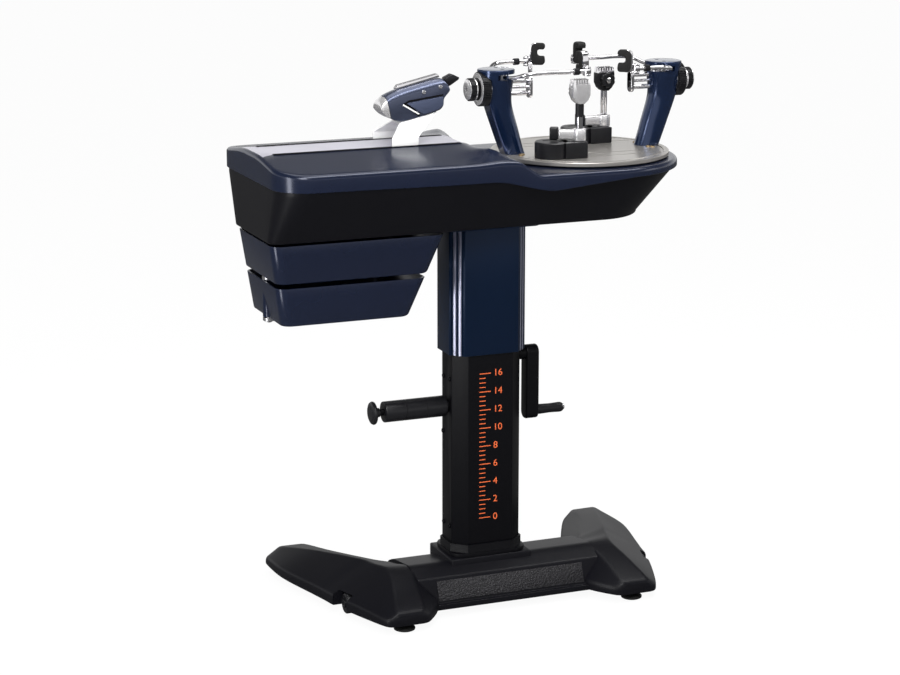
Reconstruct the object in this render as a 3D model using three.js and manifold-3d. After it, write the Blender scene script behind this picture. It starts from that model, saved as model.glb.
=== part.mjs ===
// Racket stringing machine on a height-adjustable stand.
// Millimetres, +Z up, +X along the housing towards the turntable, +Y to the back.
// The stand is at its lowest, which is how the machine is shown.
import * as THREE from 'three';
import { mergeVertices } from 'three/addons/utils/BufferGeometryUtils.js';
import Module from 'manifold-3d';

const wasm = await Module();
wasm.setup();

// Clearances that mating pieces share
const gap = 0.3;
const turnGap = 0.5;
const overrun = 6;
const bite = 1;

// Main heights and offsets
const plateTop = 970;
const housingDepth = 133;
const columnToTable = 227;

// Base casting and its legs, measured from the middle of the base
const baseOffset = 29;
const halfSpan = 424;
const footprintRear = 312;
const footprintFront = 182;
const castingBottom = 18;
const castingHeight = 100;
const castingWall = 9;
const barRear = 84;
const barPanelTopY = 92;
const barPanelBottomY = 113;
const barFrontY = 122;
const barRidgeY = 50;
const barPanelTopZ = 80;
const barRearRidgeZ = 86;
const barRearTopZ = 70;
const barPanelBottomZ = 30;
const barHalfShare = 0.505;
const barHalfLength = barHalfShare * halfSpan;
const seatHeight = 106;
const seatLength = 186;
const seatWidth = 132;

// Levelling feet
const footX = 265;
const footFrontY = 152;
const footRearY = 286;
const footRadius = 23;
const footPadThick = 8;
const footNeckRadius = 6;
const footStemTop = 34;
const footNutRadius = 11;
const footNutThick = 5;
const footBossRadius = 15;

// Transport wheels
const wheelRadius = 22;
const wheelWidth = 18;
const wheelY = 28;
const wheelZ = 27;
const wheelInset = 14;
const wheelAxleRadius = 4;
const wheelAxleGrip = 12;
const wheelHubRadius = 9;
const wheelHubProud = 1.5;
const wheelSides = 12;

// Lower column, its collar and the upper sleeve
const columnLength = 158;
const columnWidth = 110;
const columnChamfer = 28;
const columnWall = 3;
const columnTop = 812;
const collarHeight = 26;
const collarFlange = 8;
const collarFlangeReach = 8;
const collarReach = 4;
const sleeveLength = 174;
const sleeveWidth = 120;
const sleeveChamfer = 26;
const sleeveGrooves = 3;
const sleeveGrooveDepth = 2.4;
const sleeveFit = 0.5;
const headPlateThick = 12;
const headPlateLength = 210;
const headPlateWidth = 150;
const headPlateCorner = 14;

// Crank and lift screw
const crankZ = 533;
const sleeveAboveCrank = 19;
const sleeveBottom = crankZ + sleeveAboveCrank;
const crankReach = 130;
const crankShaftRadius = 7;
const crankArmStart = 101;
const crankArmThick = 29;
const crankArmWidth = 34;
const crankHubRadius = 14;
const crankShaftGrip = 12;
const crankArmRound = 3;
const gripLength = 62;
const gripRadius = 11;
const gripPinRadius = 5;
const gripHeadThick = 4;
const gearInner = 15;
const gearFace = 11;
const gearTeeth = 12;
const gearToothDepth = 3;
const gearBacklash = 2.4;
const bearingAboveCrank = 30;
const bearingBottom = crankZ + bearingAboveCrank;
const bearingThick = 16;
const screwRadius = 10;
const screwJournalRadius = 8;
const screwTop = 800;
const nutAboveBearing = 29;
const nutBottom = bearingBottom + nutAboveBearing;
const nutHeight = 40;
const nutRadius = 20;
const nutTubeWall = 4;

// String reel holder on the column
const reelZ = 433;
const reelRodRadius = 7.5;
const reelRodEnd = 243;
const reelFlangeRadius = 14;
const reelFlangeThick = 5;
const reelSpoolRadius = 22.5;
const reelSpoolLength = 140;
const reelSeamWidth = 1.5;
const reelSeamDepth = 1;
const reelSeams = 2;
const reelKnobRadius = 25;
const reelKnobThick = 11;
const reelKnobNeckRadius = 10;
const reelKnobNeck = 9;

// Housing, measured from the turntable centre and the plate surface
const housingLeft = 738;
const housingHalf = 214;
const housingTip = 206;
const housingCorner = 72;
const skirtWall = 4;
const coverWall = 5;
const panelRise = 38;
const slotOffset = 55;
const edgeFall = 21;
const rimDrop = 12;
const edgeRound = 9;
const rampStart = 300;
const rampEnd = 205;
const rampStartCurve = 65;
const rampEndCurve = 30;
const shoulderRise = 11;
const shoulderX = 268;
const shoulderY = 150;
const shoulderLength = 38;
const shoulderWidth = 52;
const skirtLeft = 17;
const skirtSlope = 4;
const skirtDip = 46;
const skirtRight = 30;
const skirtBendX = 290;
const skirtDipX = 148;
const skirtRiseX = 30;
const bodyBottomHalf = 129;
const bodyBottomLeft = 735;
const bodyBottomCorner = 26;
const bodyBottomRound = 6;
const bodyWall = 5;
const slotWidth = 5;
const slotLeft = 700;
const slotRight = 300;
const deckHoleRadius = 37;

// Turntable bearing and plate
const bearingFlangeRadius = 62;
const bearingFlangeThick = 8;
const bearingTubeRadius = 33;
const shaftRadius = 25;
const shaftLength = 112;
const plateRadius = 190;
const plateThick = 9;
const plateBevel = 5;
const railOffset = 85;
const railWidth = 38;
const railGroove = 3;
const railGrooveDepth = 2.5;
const railHalfLength = 150;

// Posts
const postBaseX = 155;
const postTopX = 195;
const postHeight = 180;
const postBaseRadius = 24;
const postTopRadius = 39;
const armSlotZ = 165;
const armSlotHeight = 11.6;
const armSlotOuter = 205;
const armHubX = 188;
const armHubY = 17;
const armHubRadius = 13;
const armStubRadius = 4;
const armStubReach = 7;
const armNeck = 4;

// Adjusting wheels and knobs on the posts
const knobAxisZ = 139;
const armWheelRadius = 36;
const armWheelStart = 217;
const armWheelThick = 20;
const armWheelRibs = 24;
const armWheelRibDepth = 1.4;
const postBossRadius = 27;
const postBossChamfer = 4;
const postBossEnd = 216.5;
const supportKnobRadius = 24;
const supportKnobEnd = 262;
const supportKnobStart = 240;
const supportKnobRibs = 16;
const supportKnobRibDepth = 1.2;
const supportKnobHubRadius = 15;
const knobSocketRadius = 5;
const knobSocketDepth = 5;
const spindleRadius = 6;
const spindleEnd = 200;

// Inner supports
const supportBlockX = 115;
const supportBlockThick = 7;
const supportBlockHeight = 47;
const supportBlockWidth = 22;
const supportRodRadius = 5;
const supportRodSpacing = 26;
const supportRodEnd = 198;
const supportTongueTop = 190;
const supportTongueWidth = 14;
const supportTongueThick = 4;

// Side arms and their pads
const barY = 101;
const barZ = 179;
const barRadius = 4.4;
const longArmEnd = 32;
const shortArmEnd = 81;
const longArmYaw = 90;
const shortArmYaw = -30;
const longArmBend = 150;
const shortArmBend = 138;
const eyeRadius = 8;
const eyeHeight = 11;
const barSteps = 8;
const barSides = 6;
const padPinRadius = 3;
const padHeight = 47;
const padBottom = 172;
const padDepth = 31;
const padWidth = 18;
const padMouth = 15;
const padMouthDepth = 17;
const padLugThick = 4;
const padCorner = 7;

// String clamps
const clampBaseHeight = 34;
const clampEdge = 2;
const clampDiscRadius = 36;
const clampDiscX = 56;
const clampDiscY = 15;
const clampBlockLeft = 40;
const clampBlockRight = 10;
const clampBlockWidth = 46;
const clampPostRadius = 7;
const clampSleeveRadius = 9;
const clampSleeveBottom = 84;
const clampSleeveTop = 112;
const clampHeadWidth = 40;
const clampHeadThick = 22;
const clampHeadTop = 163;
const clampJawGap = 1.6;
const clampJawDepth = 26;
const clampTeeth = 6;
const clampToothDepth = 10;
const clampKnobRadius = 16;
const clampKnobThick = 13;
const clampKnobZ = 136;
const clampKnobPinRadius = 4;
const clampKnobPinDepth = 8;
const clampLeverRadius = 14;
const clampLeverHeight = 25;
const clampLeverLength = 44;
const clampLeverWidth = 17;
const clampLeverEnd = 18;
const clampLeverEndWidth = 23;
const clampGripRadius = 4;
const clampGrips = 6;
const frontClampX = -47;
const frontClampY = -98;
const rearClampX = 88;
const rearClampY = 68;
const frontLeverTurn = -28;
const rearLeverTurn = -10;

// Tension drive inside the housing and the head above it
const railRodRadius = 6;
const railRodSpacing = 64;
const railRodZ = -24;
const railEndThick = 8;
const railEndLip = 14;
const railTopLip = 4;
const railLeft = 722;
const railRight = 262;
const carriageLength = 80;
const carriageWidth = 98;
const carriageHeight = 26;
const carriageX = -420;
const legLength = 56;
const legThick = 3.4;
const legTop = 39;
const tensionScrewRadius = 8;
const motorRadius = 34;
const motorLength = 45;
const motorShaftReach = 10;
const motorShaftRadius = 6;
const motorCradleInset = 10;
const bracketLean = 1.22;
const bracketKnee = 56;
const bracketTopWidth = 44;
const bracketShoulderShare = 0.3;
const bracketFootEdge = 2;
const bracketHeight = 50;
const bracketThick = 4;
const bracketLength = 58;
const headForward = 37;
const headX = carriageX + headForward;
const headZ = 123.4;
const headPitch = 12.5;
const headLength = 156;
const headHeight = 64;
const headThick = 50;
const headRound = 5;
const jawLength = 99;
const jawHeight = 8;
const jawThick = 5;
const jawGap = 2;
const jawLift = 0.5;
const noseLength = 30.5;
const noseBottom = 8.5;
const noseHeight = 22.5;
const noseThick = 22;
const leverThick = 3.2;

// Tool trays under the housing
const trayDrop = 6;
const trayTop = housingDepth + trayDrop;
const trayHeight = 80;
const trayGap = 9;
const trayLeft = 729;
const trayRight = 354;
const trayTopHalf = 120;
const trayBottomHalf = 106;
const trayLeftLean = 24;
const trayRightLean = 74;
const trayCorner = 14;
const trayWall = 4;
const pivotX = 700;
const pivotRadius = 6;
const pivotBossRadius = 13;
const pivotFlangeRadius = 18;
const pivotNutHeight = 7;
const pivotTipHeight = 3;

// How finely round forms are divided
const roundSides = 14;
const fineSides = 20;
const smallSides = 9;
const postSides = 16;
const degrees = Math.PI / 180;

// Colours and finishes
const finish = (color, roughness, metalness) => new THREE.MeshStandardMaterial({ color, roughness, metalness });
const navy = finish(0x1d2540, 0.35, 0.6);
const postBlue = finish(0x22355f, 0.3, 0.7);
const blackShell = finish(0x101114, 0.4, 0.2);
const charcoal = finish(0x1b1c20, 0.6, 0.3);
const blackPlastic = finish(0x0e0e10, 0.5, 0.0);
const rubber = finish(0x151516, 0.85, 0.0);
const silver = finish(0xd8d4cf, 0.25, 0.95);
const chrome = finish(0xe4e4e6, 0.12, 1.0);
const steel = finish(0x9c9ea3, 0.4, 0.9);
const bronze = finish(0x9a7440, 0.4, 0.9);
const whitePaint = finish(0xf2f2f0, 0.3, 0.1);
const greyBlue = finish(0x6c7396, 0.4, 0.5);

// Solids: every geometry is welded, turned the right way out and handed to the solid kernel
function solid(geometry) {
  const bare = geometry.clone();
  for (const name of Object.keys(bare.attributes)) {
    if (name !== 'position') bare.deleteAttribute(name);
  }
  const welded = mergeVertices(bare);
  const points = welded.attributes.position.array;
  const corners = [];
  const source = welded.index.array;
  for (let i = 0; i < source.length; i += 3) {
    const [a, b, c] = [source[i], source[i + 1], source[i + 2]];
    if (a !== b && b !== c && a !== c) corners.push(a, b, c);
  }
  let volume = 0;
  const at = (i) => new THREE.Vector3().fromArray(points, 3 * i);
  for (let i = 0; i < corners.length; i += 3) {
    volume += at(corners[i]).dot(at(corners[i + 1]).cross(at(corners[i + 2])));
  }
  if (volume < 0) corners.reverse();
  const mesh = new wasm.Mesh({
    numProp: 3,
    vertProperties: new Float32Array(points),
    triVerts: new Uint32Array(corners),
  });
  return new wasm.Manifold(mesh);
}

function join(first, ...others) {
  return others.reduce((whole, other) => whole.add(other), first);
}

function cut(first, ...others) {
  return others.reduce((whole, other) => whole.subtract(other), first);
}

function geometryOf(body) {
  const mesh = body.getMesh();
  const geometry = new THREE.BufferGeometry();
  geometry.setAttribute('position', new THREE.BufferAttribute(new Float32Array(mesh.vertProperties), 3));
  geometry.setIndex(new THREE.BufferAttribute(new Uint32Array(mesh.triVerts), 1));
  return geometry;
}

function piece(name, body, material, parent) {
  const mesh = new THREE.Mesh(geometryOf(body).toNonIndexed(), material);
  mesh.geometry.computeVertexNormals();
  mesh.name = name;
  parent.add(mesh);
  return mesh;
}

// A box from its spans along X, Y and Z
function block([x0, x1], [y0, y1], [z0, z1]) {
  const geometry = new THREE.BoxGeometry(x1 - x0, y1 - y0, z1 - z0);
  geometry.translate((x0 + x1) / 2, (y0 + y1) / 2, (z0 + z1) / 2);
  return solid(geometry);
}

function pointAlong(geometry, axis) {
  if (axis === 'x') geometry.rotateZ(-Math.PI / 2);
  if (axis === 'z') geometry.rotateX(Math.PI / 2);
  return geometry;
}

// A turned piece: the profile lists [radius, place along the axis] and is closed onto the axis
function turned(profile, axis = 'z', sides = roundSides) {
  const first = profile[0];
  const last = profile[profile.length - 1];
  const outline = [[0, first[1]], ...profile, [0, last[1]]];
  const geometry = new THREE.LatheGeometry(outline.map(([r, along]) => new THREE.Vector2(r, along)), sides);
  return solid(pointAlong(geometry, axis));
}

function rod(radius, from, to, axis = 'z', sides = smallSides) {
  return turned([[radius, from], [radius, to]], axis, sides);
}

// A round hole whose flats clear a piece of the given radius
function bore(radius, from, to, axis = 'z', sides = smallSides) {
  return rod((radius + gap) / Math.cos(Math.PI / sides), from - overrun, to + overrun, axis, sides);
}

// A flat outline in X and Y, raised from one height to another
function prism(points, bottom, top) {
  const shape = new THREE.Shape(points.map(([x, y]) => new THREE.Vector2(x, y)));
  const geometry = new THREE.ExtrudeGeometry(shape, { depth: top - bottom, bevelEnabled: false });
  geometry.translate(0, 0, bottom);
  return solid(geometry);
}

// A side outline in X and Z, given thickness along Y
function sidePlate(points, nearY, farY, bevel = 0) {
  const shape = new THREE.Shape(points.map(([x, z]) => new THREE.Vector2(x, z)));
  const geometry = new THREE.ExtrudeGeometry(shape, {
    depth: farY - nearY - 2 * bevel,
    bevelEnabled: bevel > 0,
    bevelThickness: bevel,
    bevelSize: bevel,
    bevelOffset: -bevel,
    bevelSegments: 2,
  });
  geometry.rotateX(Math.PI / 2);
  geometry.translate(0, farY - bevel, 0);
  return solid(geometry);
}

// An outline in Y and Z, given length along X
function crossPlate(points, startX, endX) {
  const shape = new THREE.Shape(points.map(([y, z]) => new THREE.Vector2(y, z)));
  const geometry = new THREE.ExtrudeGeometry(shape, { depth: endX - startX, bevelEnabled: false });
  geometry.rotateX(Math.PI / 2);
  geometry.rotateZ(Math.PI / 2);
  geometry.translate(startX, 0, 0);
  return solid(geometry);
}

// A closed skin through rings of equal count; each end is closed from its middle
function loft(rings) {
  const count = rings[0].length;
  const points = rings.flat();
  const faces = [];
  for (let r = 0; r + 1 < rings.length; r += 1) {
    for (let i = 0; i < count; i += 1) {
      const a = r * count + i;
      const b = r * count + ((i + 1) % count);
      faces.push(a, b, b + count, a, b + count, a + count);
    }
  }
  for (const [end, flip] of [[0, true], [rings.length - 1, false]]) {
    const middle = rings[end].reduce((sum, p) => sum.add(p), new THREE.Vector3()).divideScalar(count);
    const hub = points.push(middle) - 1;
    for (let i = 0; i < count; i += 1) {
      const a = end * count + i;
      const b = end * count + ((i + 1) % count);
      if (flip) faces.push(hub, b, a);
      else faces.push(hub, a, b);
    }
  }
  const geometry = new THREE.BufferGeometry().setFromPoints(points);
  geometry.setIndex(faces);
  return solid(geometry);
}

// A round bar bent along a smooth path
function bentBar(places, radius, steps, sides) {
  const path = new THREE.CatmullRomCurve3(places.map((p) => new THREE.Vector3(...p)), false, 'centripetal');
  const section = new THREE.Shape();
  for (let i = 0; i < sides; i += 1) {
    const turn = (2 * Math.PI * i) / sides;
    const [x, y] = [radius * Math.cos(turn), radius * Math.sin(turn)];
    if (i === 0) section.moveTo(x, y);
    else section.lineTo(x, y);
  }
  section.closePath();
  return solid(new THREE.ExtrudeGeometry(section, { steps, extrudePath: path, bevelEnabled: false }));
}

function rounded(halfX, halfY, corner, steps = 4) {
  const points = [];
  for (let quarter = 0; quarter < 4; quarter += 1) {
    const signX = quarter === 0 || quarter === 3 ? 1 : -1;
    const signY = quarter < 2 ? 1 : -1;
    for (let i = 0; i <= steps; i += 1) {
      const turn = ((quarter + i / steps) * Math.PI) / 2;
      const x = signX * (halfX - corner) + corner * Math.cos(turn);
      const y = signY * (halfY - corner) + corner * Math.sin(turn);
      points.push([x, y]);
    }
  }
  return points;
}

function chamfered(length, width, chamfer) {
  const [x, y] = [length / 2, width / 2];
  return [
    [x, -y + chamfer], [x, y - chamfer], [x - chamfer, y], [-x + chamfer, y],
    [-x, y - chamfer], [-x, -y + chamfer], [-x + chamfer, -y], [x - chamfer, -y],
  ];
}

// The outline of a knurled or toothed wheel; the shares say where a rib's corners lie and how deep
const knurlShares = [[0, 0], [0.5, 1]];
const toothShares = [[0, 0], [0.3, 0], [0.5, 1], [0.8, 1]];

function ribbedOutline(radius, depth, ribs, shares) {
  const points = [];
  for (let i = 0; i < ribs; i += 1) {
    for (const [place, low] of shares) {
      const turn = (2 * Math.PI * (i + place)) / ribs;
      const r = radius - low * depth;
      points.push([r * Math.cos(turn), r * Math.sin(turn)]);
    }
  }
  return points;
}

const clamp = (value, low, high) => Math.min(high, Math.max(low, value));
const mix = (a, b, t) => a + (b - a) * t;
function smooth(from, to, value) {
  const t = clamp((value - from) / (to - from), 0, 1);
  return t * t * (3 - 2 * t);
}

// Groups that follow the machine's own axes
const machine = new THREE.Group();
const stand = new THREE.Group();
const deck = new THREE.Group();
deck.position.set(columnToTable, 0, plateTop);
machine.add(stand, deck);

const housingBottom = plateTop - housingDepth;

// Base casting: two splayed legs with a ridge, joined by a cross bar under the column
// Each row: place along the leg, outer foot, outer ridge, inner ridge, inner foot, the heights of both ridges, wall height
const legShares = [
  [-1.0, 0.705, 0.689, 0.552, 0.542, 0.40, 0.40, 0.30],
  [-0.94, 0.743, 0.684, 0.538, 0.498, 0.50, 0.50, 0.34],
  [-0.62, 0.797, 0.646, 0.519, 0.408, 0.77, 0.77, 0.40],
  [-0.25, 0.851, 0.620, 0.498, 0.403, 0.97, 0.97, 0.42],
  [0.06, 0.892, 0.663, 0.524, 0.425, 0.97, 0.87, 0.42],
  [0.24, 0.922, 0.712, 0.585, 0.474, 0.94, 0.80, 0.42],
  [0.64, 0.990, 0.828, 0.717, 0.604, 0.78, 0.69, 0.40],
  [0.96, 1.0, 0.917, 0.781, 0.722, 0.58, 0.57, 0.34],
  [1.0, 0.985, 0.903, 0.797, 0.757, 0.52, 0.50, 0.30],
];

function legRings(side, wall, drop) {
  return legShares.map(([place, outer, ridgeOuter, ridgeInner, inner, outerHeight, innerHeight, wallHeight]) => {
    const y = place < 0 ? place * footprintFront : place * footprintRear;
    const inset = clamp(y, -footprintFront + wall, footprintRear - wall);
    const x = (share, shift) => side * (share * halfSpan + shift);
    const top = (height) => Math.max(height * castingHeight - wall, castingBottom + overrun / 2);
    const sideTop = Math.max(wallHeight * castingHeight - wall / 2, castingBottom + overrun / 3);
    const low = castingBottom - drop;
    return [
      new THREE.Vector3(x(inner, wall), inset, low),
      new THREE.Vector3(x(outer, -wall), inset, low),
      new THREE.Vector3(x(outer, -wall), inset, sideTop),
      new THREE.Vector3(x(ridgeOuter, -wall / 2), inset, top(outerHeight)),
      new THREE.Vector3(x(ridgeInner, wall / 2), inset, top(innerHeight)),
      new THREE.Vector3(x(inner, wall), inset, sideTop),
    ];
  });
}

function barOutline(wall, drop) {
  return [
    [-barFrontY + wall, castingBottom - drop],
    [-barFrontY + wall, barPanelBottomZ - wall / 2],
    [-barPanelBottomY + wall, barPanelBottomZ],
    [-barPanelTopY + wall, barPanelTopZ - wall / 2],
    [-barRidgeY + wall / 2, castingHeight - wall],
    [barRidgeY, barRearRidgeZ - wall],
    [barRear - wall, barRearTopZ - wall],
    [barRear - wall, castingBottom - drop],
  ];
}

const footPlaces = [
  ['front_left', -footX, -footFrontY], ['front_right', footX, -footFrontY],
  ['rear_left', -rearFootX(), footRearY], ['rear_right', rearFootX(), footRearY],
];

function rearFootX() {
  const last = legShares[legShares.length - 2];
  return ((last[1] + last[4]) / 2) * halfSpan;
}

function wheelX() {
  const row = legShares[3];
  return row[1] * halfSpan - wheelInset;
}

const base = new THREE.Group();
base.position.x = baseOffset;
stand.add(base);

function buildBase() {
  const shell = join(
    loft(legRings(-1, 0, 0)),
    loft(legRings(1, 0, 0)),
    crossPlate(barOutline(0, 0), -barHalfLength, barHalfLength),
    block([-seatLength / 2 - baseOffset, seatLength / 2 - baseOffset], [-seatWidth / 2, seatWidth / 2],
      [castingHeight / 2, seatHeight]),
  );
  let hollow = join(
    loft(legRings(-1, castingWall, overrun)),
    loft(legRings(1, castingWall, overrun)),
    crossPlate(barOutline(castingWall, overrun), -barHalfLength, barHalfLength),
  );
  const webs = [block([-seatLength / 2 - baseOffset, -seatLength / 2 - baseOffset + castingWall],
    [-footprintFront, barRear], [0, castingHeight]),
  block([seatLength / 2 - baseOffset - castingWall, seatLength / 2 - baseOffset],
    [-footprintFront, barRear], [0, castingHeight])];
  hollow = cut(hollow, ...webs);
  for (const [, x, y] of footPlaces) {
    hollow = cut(hollow, rod(footBossRadius, 0, castingHeight).translate(x, y, 0));
  }
  let casting = cut(shell, hollow);
  for (const [, x, y] of footPlaces) {
    casting = cut(casting, bore(footNeckRadius, 0, footStemTop).translate(x, y, 0));
  }
  for (const side of [-1, 1]) {
    const notch = side * wheelX();
    const reach = wheelRadius + turnGap * 4;
    const inner = notch - side * (wheelWidth / 2 + turnGap);
    const outer = notch + side * (wheelWidth / 2 + castingWall * 2);
    const spanX = [Math.min(inner, outer), Math.max(inner, outer)];
    const pocket = block(spanX, [-wheelY - reach, -wheelY + reach], [0, wheelZ + reach]);
    const lining = block(
      [Math.min(inner, inner - side * castingWall), Math.max(inner, inner - side * castingWall)],
      [-wheelY - reach, -wheelY + reach], [castingBottom, wheelZ + reach]);
    const axleEnd = notch - side * (wheelWidth / 2 + wheelAxleGrip);
    const hole = bore(wheelAxleRadius, Math.min(notch, axleEnd), Math.max(notch, axleEnd), 'x');
    casting = cut(join(casting, lining.intersect(shell)), pocket, hole.translate(0, -wheelY, wheelZ));
  }
  return casting;
}

function buildFoot() {
  return turned([
    [footRadius * 0.9, 0], [footRadius, footPadThick / 2], [footRadius * 0.8, footPadThick],
    [footNeckRadius, footPadThick], [footNeckRadius, castingBottom - gap - footNutThick],
    [footNutRadius, castingBottom - gap - footNutThick], [footNutRadius, castingBottom - gap],
    [footNeckRadius, castingBottom - gap], [footNeckRadius, footStemTop],
  ], 'z', smallSides);
}

function buildTransportWheel() {
  const half = wheelWidth / 2;
  const crown = wheelRadius - 1.5 * wheelHubProud;
  return turned([
    [wheelAxleRadius, -half - wheelAxleGrip], [wheelAxleRadius, -half - gap], [wheelHubRadius, -half - gap / 2],
    [wheelHubRadius, -half + wheelHubProud], [crown, -half + wheelHubProud], [wheelRadius, -half / 2],
    [wheelRadius, half / 2], [crown, half - wheelHubProud], [wheelHubRadius, half - wheelHubProud],
    [wheelHubRadius, half + wheelHubProud],
  ], 'x', wheelSides);
}

piece('base_casting', buildBase(), charcoal, base);
for (const [name, x, y] of footPlaces) {
  piece(`levelling_foot_${name}`, buildFoot(), rubber, base).position.set(x, y, 0);
}
for (const [name, side] of [['left', -1], ['right', 1]]) {
  const wheel = piece(`transport_wheel_${name}`, buildTransportWheel(), blackPlastic, base);
  wheel.position.set(side * wheelX(), -wheelY, wheelZ);
  wheel.rotation.z = side < 0 ? Math.PI : 0;
}

// Column: a lower tube on the casting and a fluted sleeve that slides over it
function buildLowerColumn() {
  const foot = seatHeight + gap;
  const outer = prism(chamfered(columnLength, columnWidth, columnChamfer), foot, columnTop);
  const hollow = prism(chamfered(columnLength - 2 * columnWall, columnWidth - 2 * columnWall,
    columnChamfer - columnWall), foot - overrun, columnTop + overrun);
  const crankHole = bore(crankShaftRadius, columnLength / 4, columnLength, 'x').translate(0, 0, crankZ);
  const reelHole = bore(reelRodRadius, -columnLength, -columnLength / 4, 'x').translate(0, 0, reelZ);
  return cut(outer, hollow, crankHole, reelHole);
}

function buildCollar() {
  const bottom = seatHeight + gap;
  const flange = prism(rounded(columnLength / 2 + collarFlangeReach, columnWidth / 2 + collarFlangeReach,
    columnChamfer + collarFlangeReach / 2), bottom, bottom + collarFlange);
  const upstand = prism(chamfered(columnLength + 2 * collarReach, columnWidth + 2 * collarReach,
    columnChamfer + collarReach / 2), bottom, bottom + collarHeight);
  const hollow = prism(chamfered(columnLength + 2 * gap, columnWidth + 2 * gap, columnChamfer),
    bottom - overrun, bottom + collarHeight + overrun);
  return cut(join(flange, upstand), hollow);
}

// The sleeve's outline has grooves across each chamfered corner
function flutedOutline() {
  const [x, y, c] = [sleeveLength / 2, sleeveWidth / 2, sleeveChamfer];
  const corners = [
    [[x, y - c], [x - c, y]], [[-x + c, y], [-x, y - c]],
    [[-x, -y + c], [-x + c, -y]], [[x - c, -y], [x, -y + c]],
  ];
  const grooveShare = 0.32;
  const points = [];
  for (const [start, end] of corners) {
    const inward = Math.hypot(...start.map((v, k) => v + end[k]));
    const normal = start.map((v, k) => -(v + end[k]) / inward);
    points.push(start);
    for (let g = 0; g < sleeveGrooves; g += 1) {
      const middle = (g + 1 / 2) / sleeveGrooves;
      const half = grooveShare / sleeveGrooves / 2;
      for (const [t, deep] of [[middle - half, 0], [middle - half, 1], [middle + half, 1], [middle + half, 0]]) {
        points.push(start.map((v, k) => mix(v, end[k], t) + deep * sleeveGrooveDepth * normal[k]));
      }
    }
    points.push(end);
  }
  return points;
}

function buildUpperColumn() {
  const plateFrom = housingBottom - gap - headPlateThick;
  const tube = prism(flutedOutline(), sleeveBottom, plateFrom + gap);
  const plate = prism(rounded(headPlateLength / 2, headPlateWidth / 2, headPlateCorner),
    plateFrom, plateFrom + headPlateThick);
  const hollow = prism(chamfered(columnLength + 2 * sleeveFit, columnWidth + 2 * sleeveFit, columnChamfer),
    sleeveBottom - overrun, plateFrom);
  return cut(join(tube, plate), hollow);
}

piece('lower_column', buildLowerColumn(), blackShell, stand);
piece('column_collar', buildCollar(), blackShell, stand);
piece('upper_column', buildUpperColumn(), postBlue, stand);

// Crank, its bevel gears and the lift screw
// A bevel gear of 45 degrees whose cone point is at the origin; its axis is Z
function bevelGear() {
  const inner = gearInner;
  const outer = gearInner + gearFace;
  const rings = [[inner, inner - gearBacklash], [outer, outer - gearBacklash]].map(([along, radius]) => (
    ribbedOutline(radius, gearToothDepth * (radius / outer), gearTeeth, toothShares)
      .map(([x, y]) => new THREE.Vector3(x, y, along))
  ));
  return loft(rings);
}

function buildCrankShaft() {
  const shaft = rod(crankShaftRadius, gearInner + bite, crankArmStart + crankShaftGrip, 'x', roundSides);
  return join(shaft, bevelGear().rotate([0, 90, 0]));
}

function buildCrankArm() {
  const hub = rod(crankHubRadius, columnLength / 2 + gap, crankArmStart + bite, 'x', roundSides);
  const socket = bore(crankShaftRadius, 0, crankArmStart + crankShaftGrip + gap - overrun, 'x', roundSides);
  const outline = rounded(crankArmWidth / 2, crankReach / 2 + crankArmWidth / 2, crankArmWidth / 2 - bite);
  const armShape = new THREE.Shape(outline.map(([x, y]) => new THREE.Vector2(x, y)));
  const armGeometry = new THREE.ExtrudeGeometry(armShape, {
    depth: crankArmThick - 2 * crankArmRound, bevelEnabled: true, bevelThickness: crankArmRound,
    bevelSize: crankArmRound, bevelOffset: -crankArmRound, bevelSegments: 1,
  });
  armGeometry.rotateX(Math.PI / 2);
  armGeometry.rotateZ(Math.PI / 2);
  armGeometry.translate(crankArmStart + crankArmRound, 0, -crankReach / 2);
  const pin = rod(gripPinRadius, crankArmStart + crankArmThick - bite,
    crankArmStart + crankArmThick + gripLength, 'x').translate(0, 0, -crankReach);
  const head = rod(gripPinRadius + gripHeadThick / 2, crankArmStart + crankArmThick + gripLength,
    crankArmStart + crankArmThick + gripLength + gripHeadThick, 'x').translate(0, 0, -crankReach);
  return cut(join(hub, solid(armGeometry), pin, head), socket);
}

function buildCrankGrip() {
  const from = crankArmStart + crankArmThick + gap;
  const to = from + gripLength - 2 * gap;
  const body = turned([
    [gripRadius * 0.8, from], [gripRadius, from + gripLength * 0.12], [gripRadius * 0.92, from + gripLength * 0.5],
    [gripRadius, from + gripLength * 0.88], [gripRadius * 0.82, to],
  ], 'x');
  return cut(body, bore(gripPinRadius, from, to, 'x'));
}

function buildLiftScrew() {
  const gear = bevelGear();
  const gearTop = gearInner + gearFace;
  const journal = rod(screwJournalRadius, gearTop - bite, bearingBottom + bearingThick - crankZ + bite);
  const screw = rod(screwRadius, bearingBottom + bearingThick + gap - crankZ, screwTop - crankZ, 'z', roundSides);
  return join(gear, journal, screw).translate(0, 0, crankZ);
}

function buildScrewBearing() {
  const outline = chamfered(columnLength - 2 * columnWall - 2 * gap, columnWidth - 2 * columnWall - 2 * gap,
    columnChamfer - columnWall);
  const body = prism(outline, bearingBottom, bearingBottom + bearingThick);
  return cut(body, bore(screwJournalRadius, bearingBottom, bearingBottom + bearingThick));
}

function buildLiftNut() {
  const top = housingBottom - gap - headPlateThick - gap;
  const outer = join(
    rod(nutRadius, nutBottom, nutBottom + nutHeight, 'z', 6),
    rod(screwRadius + 2 * gap + nutTubeWall, nutBottom, top, 'z', roundSides),
    rod(nutRadius + nutTubeWall, top - nutTubeWall, top, 'z', roundSides),
  );
  return cut(outer, bore(screwRadius, nutBottom, top - nutTubeWall - overrun, 'z', roundSides));
}

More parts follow.
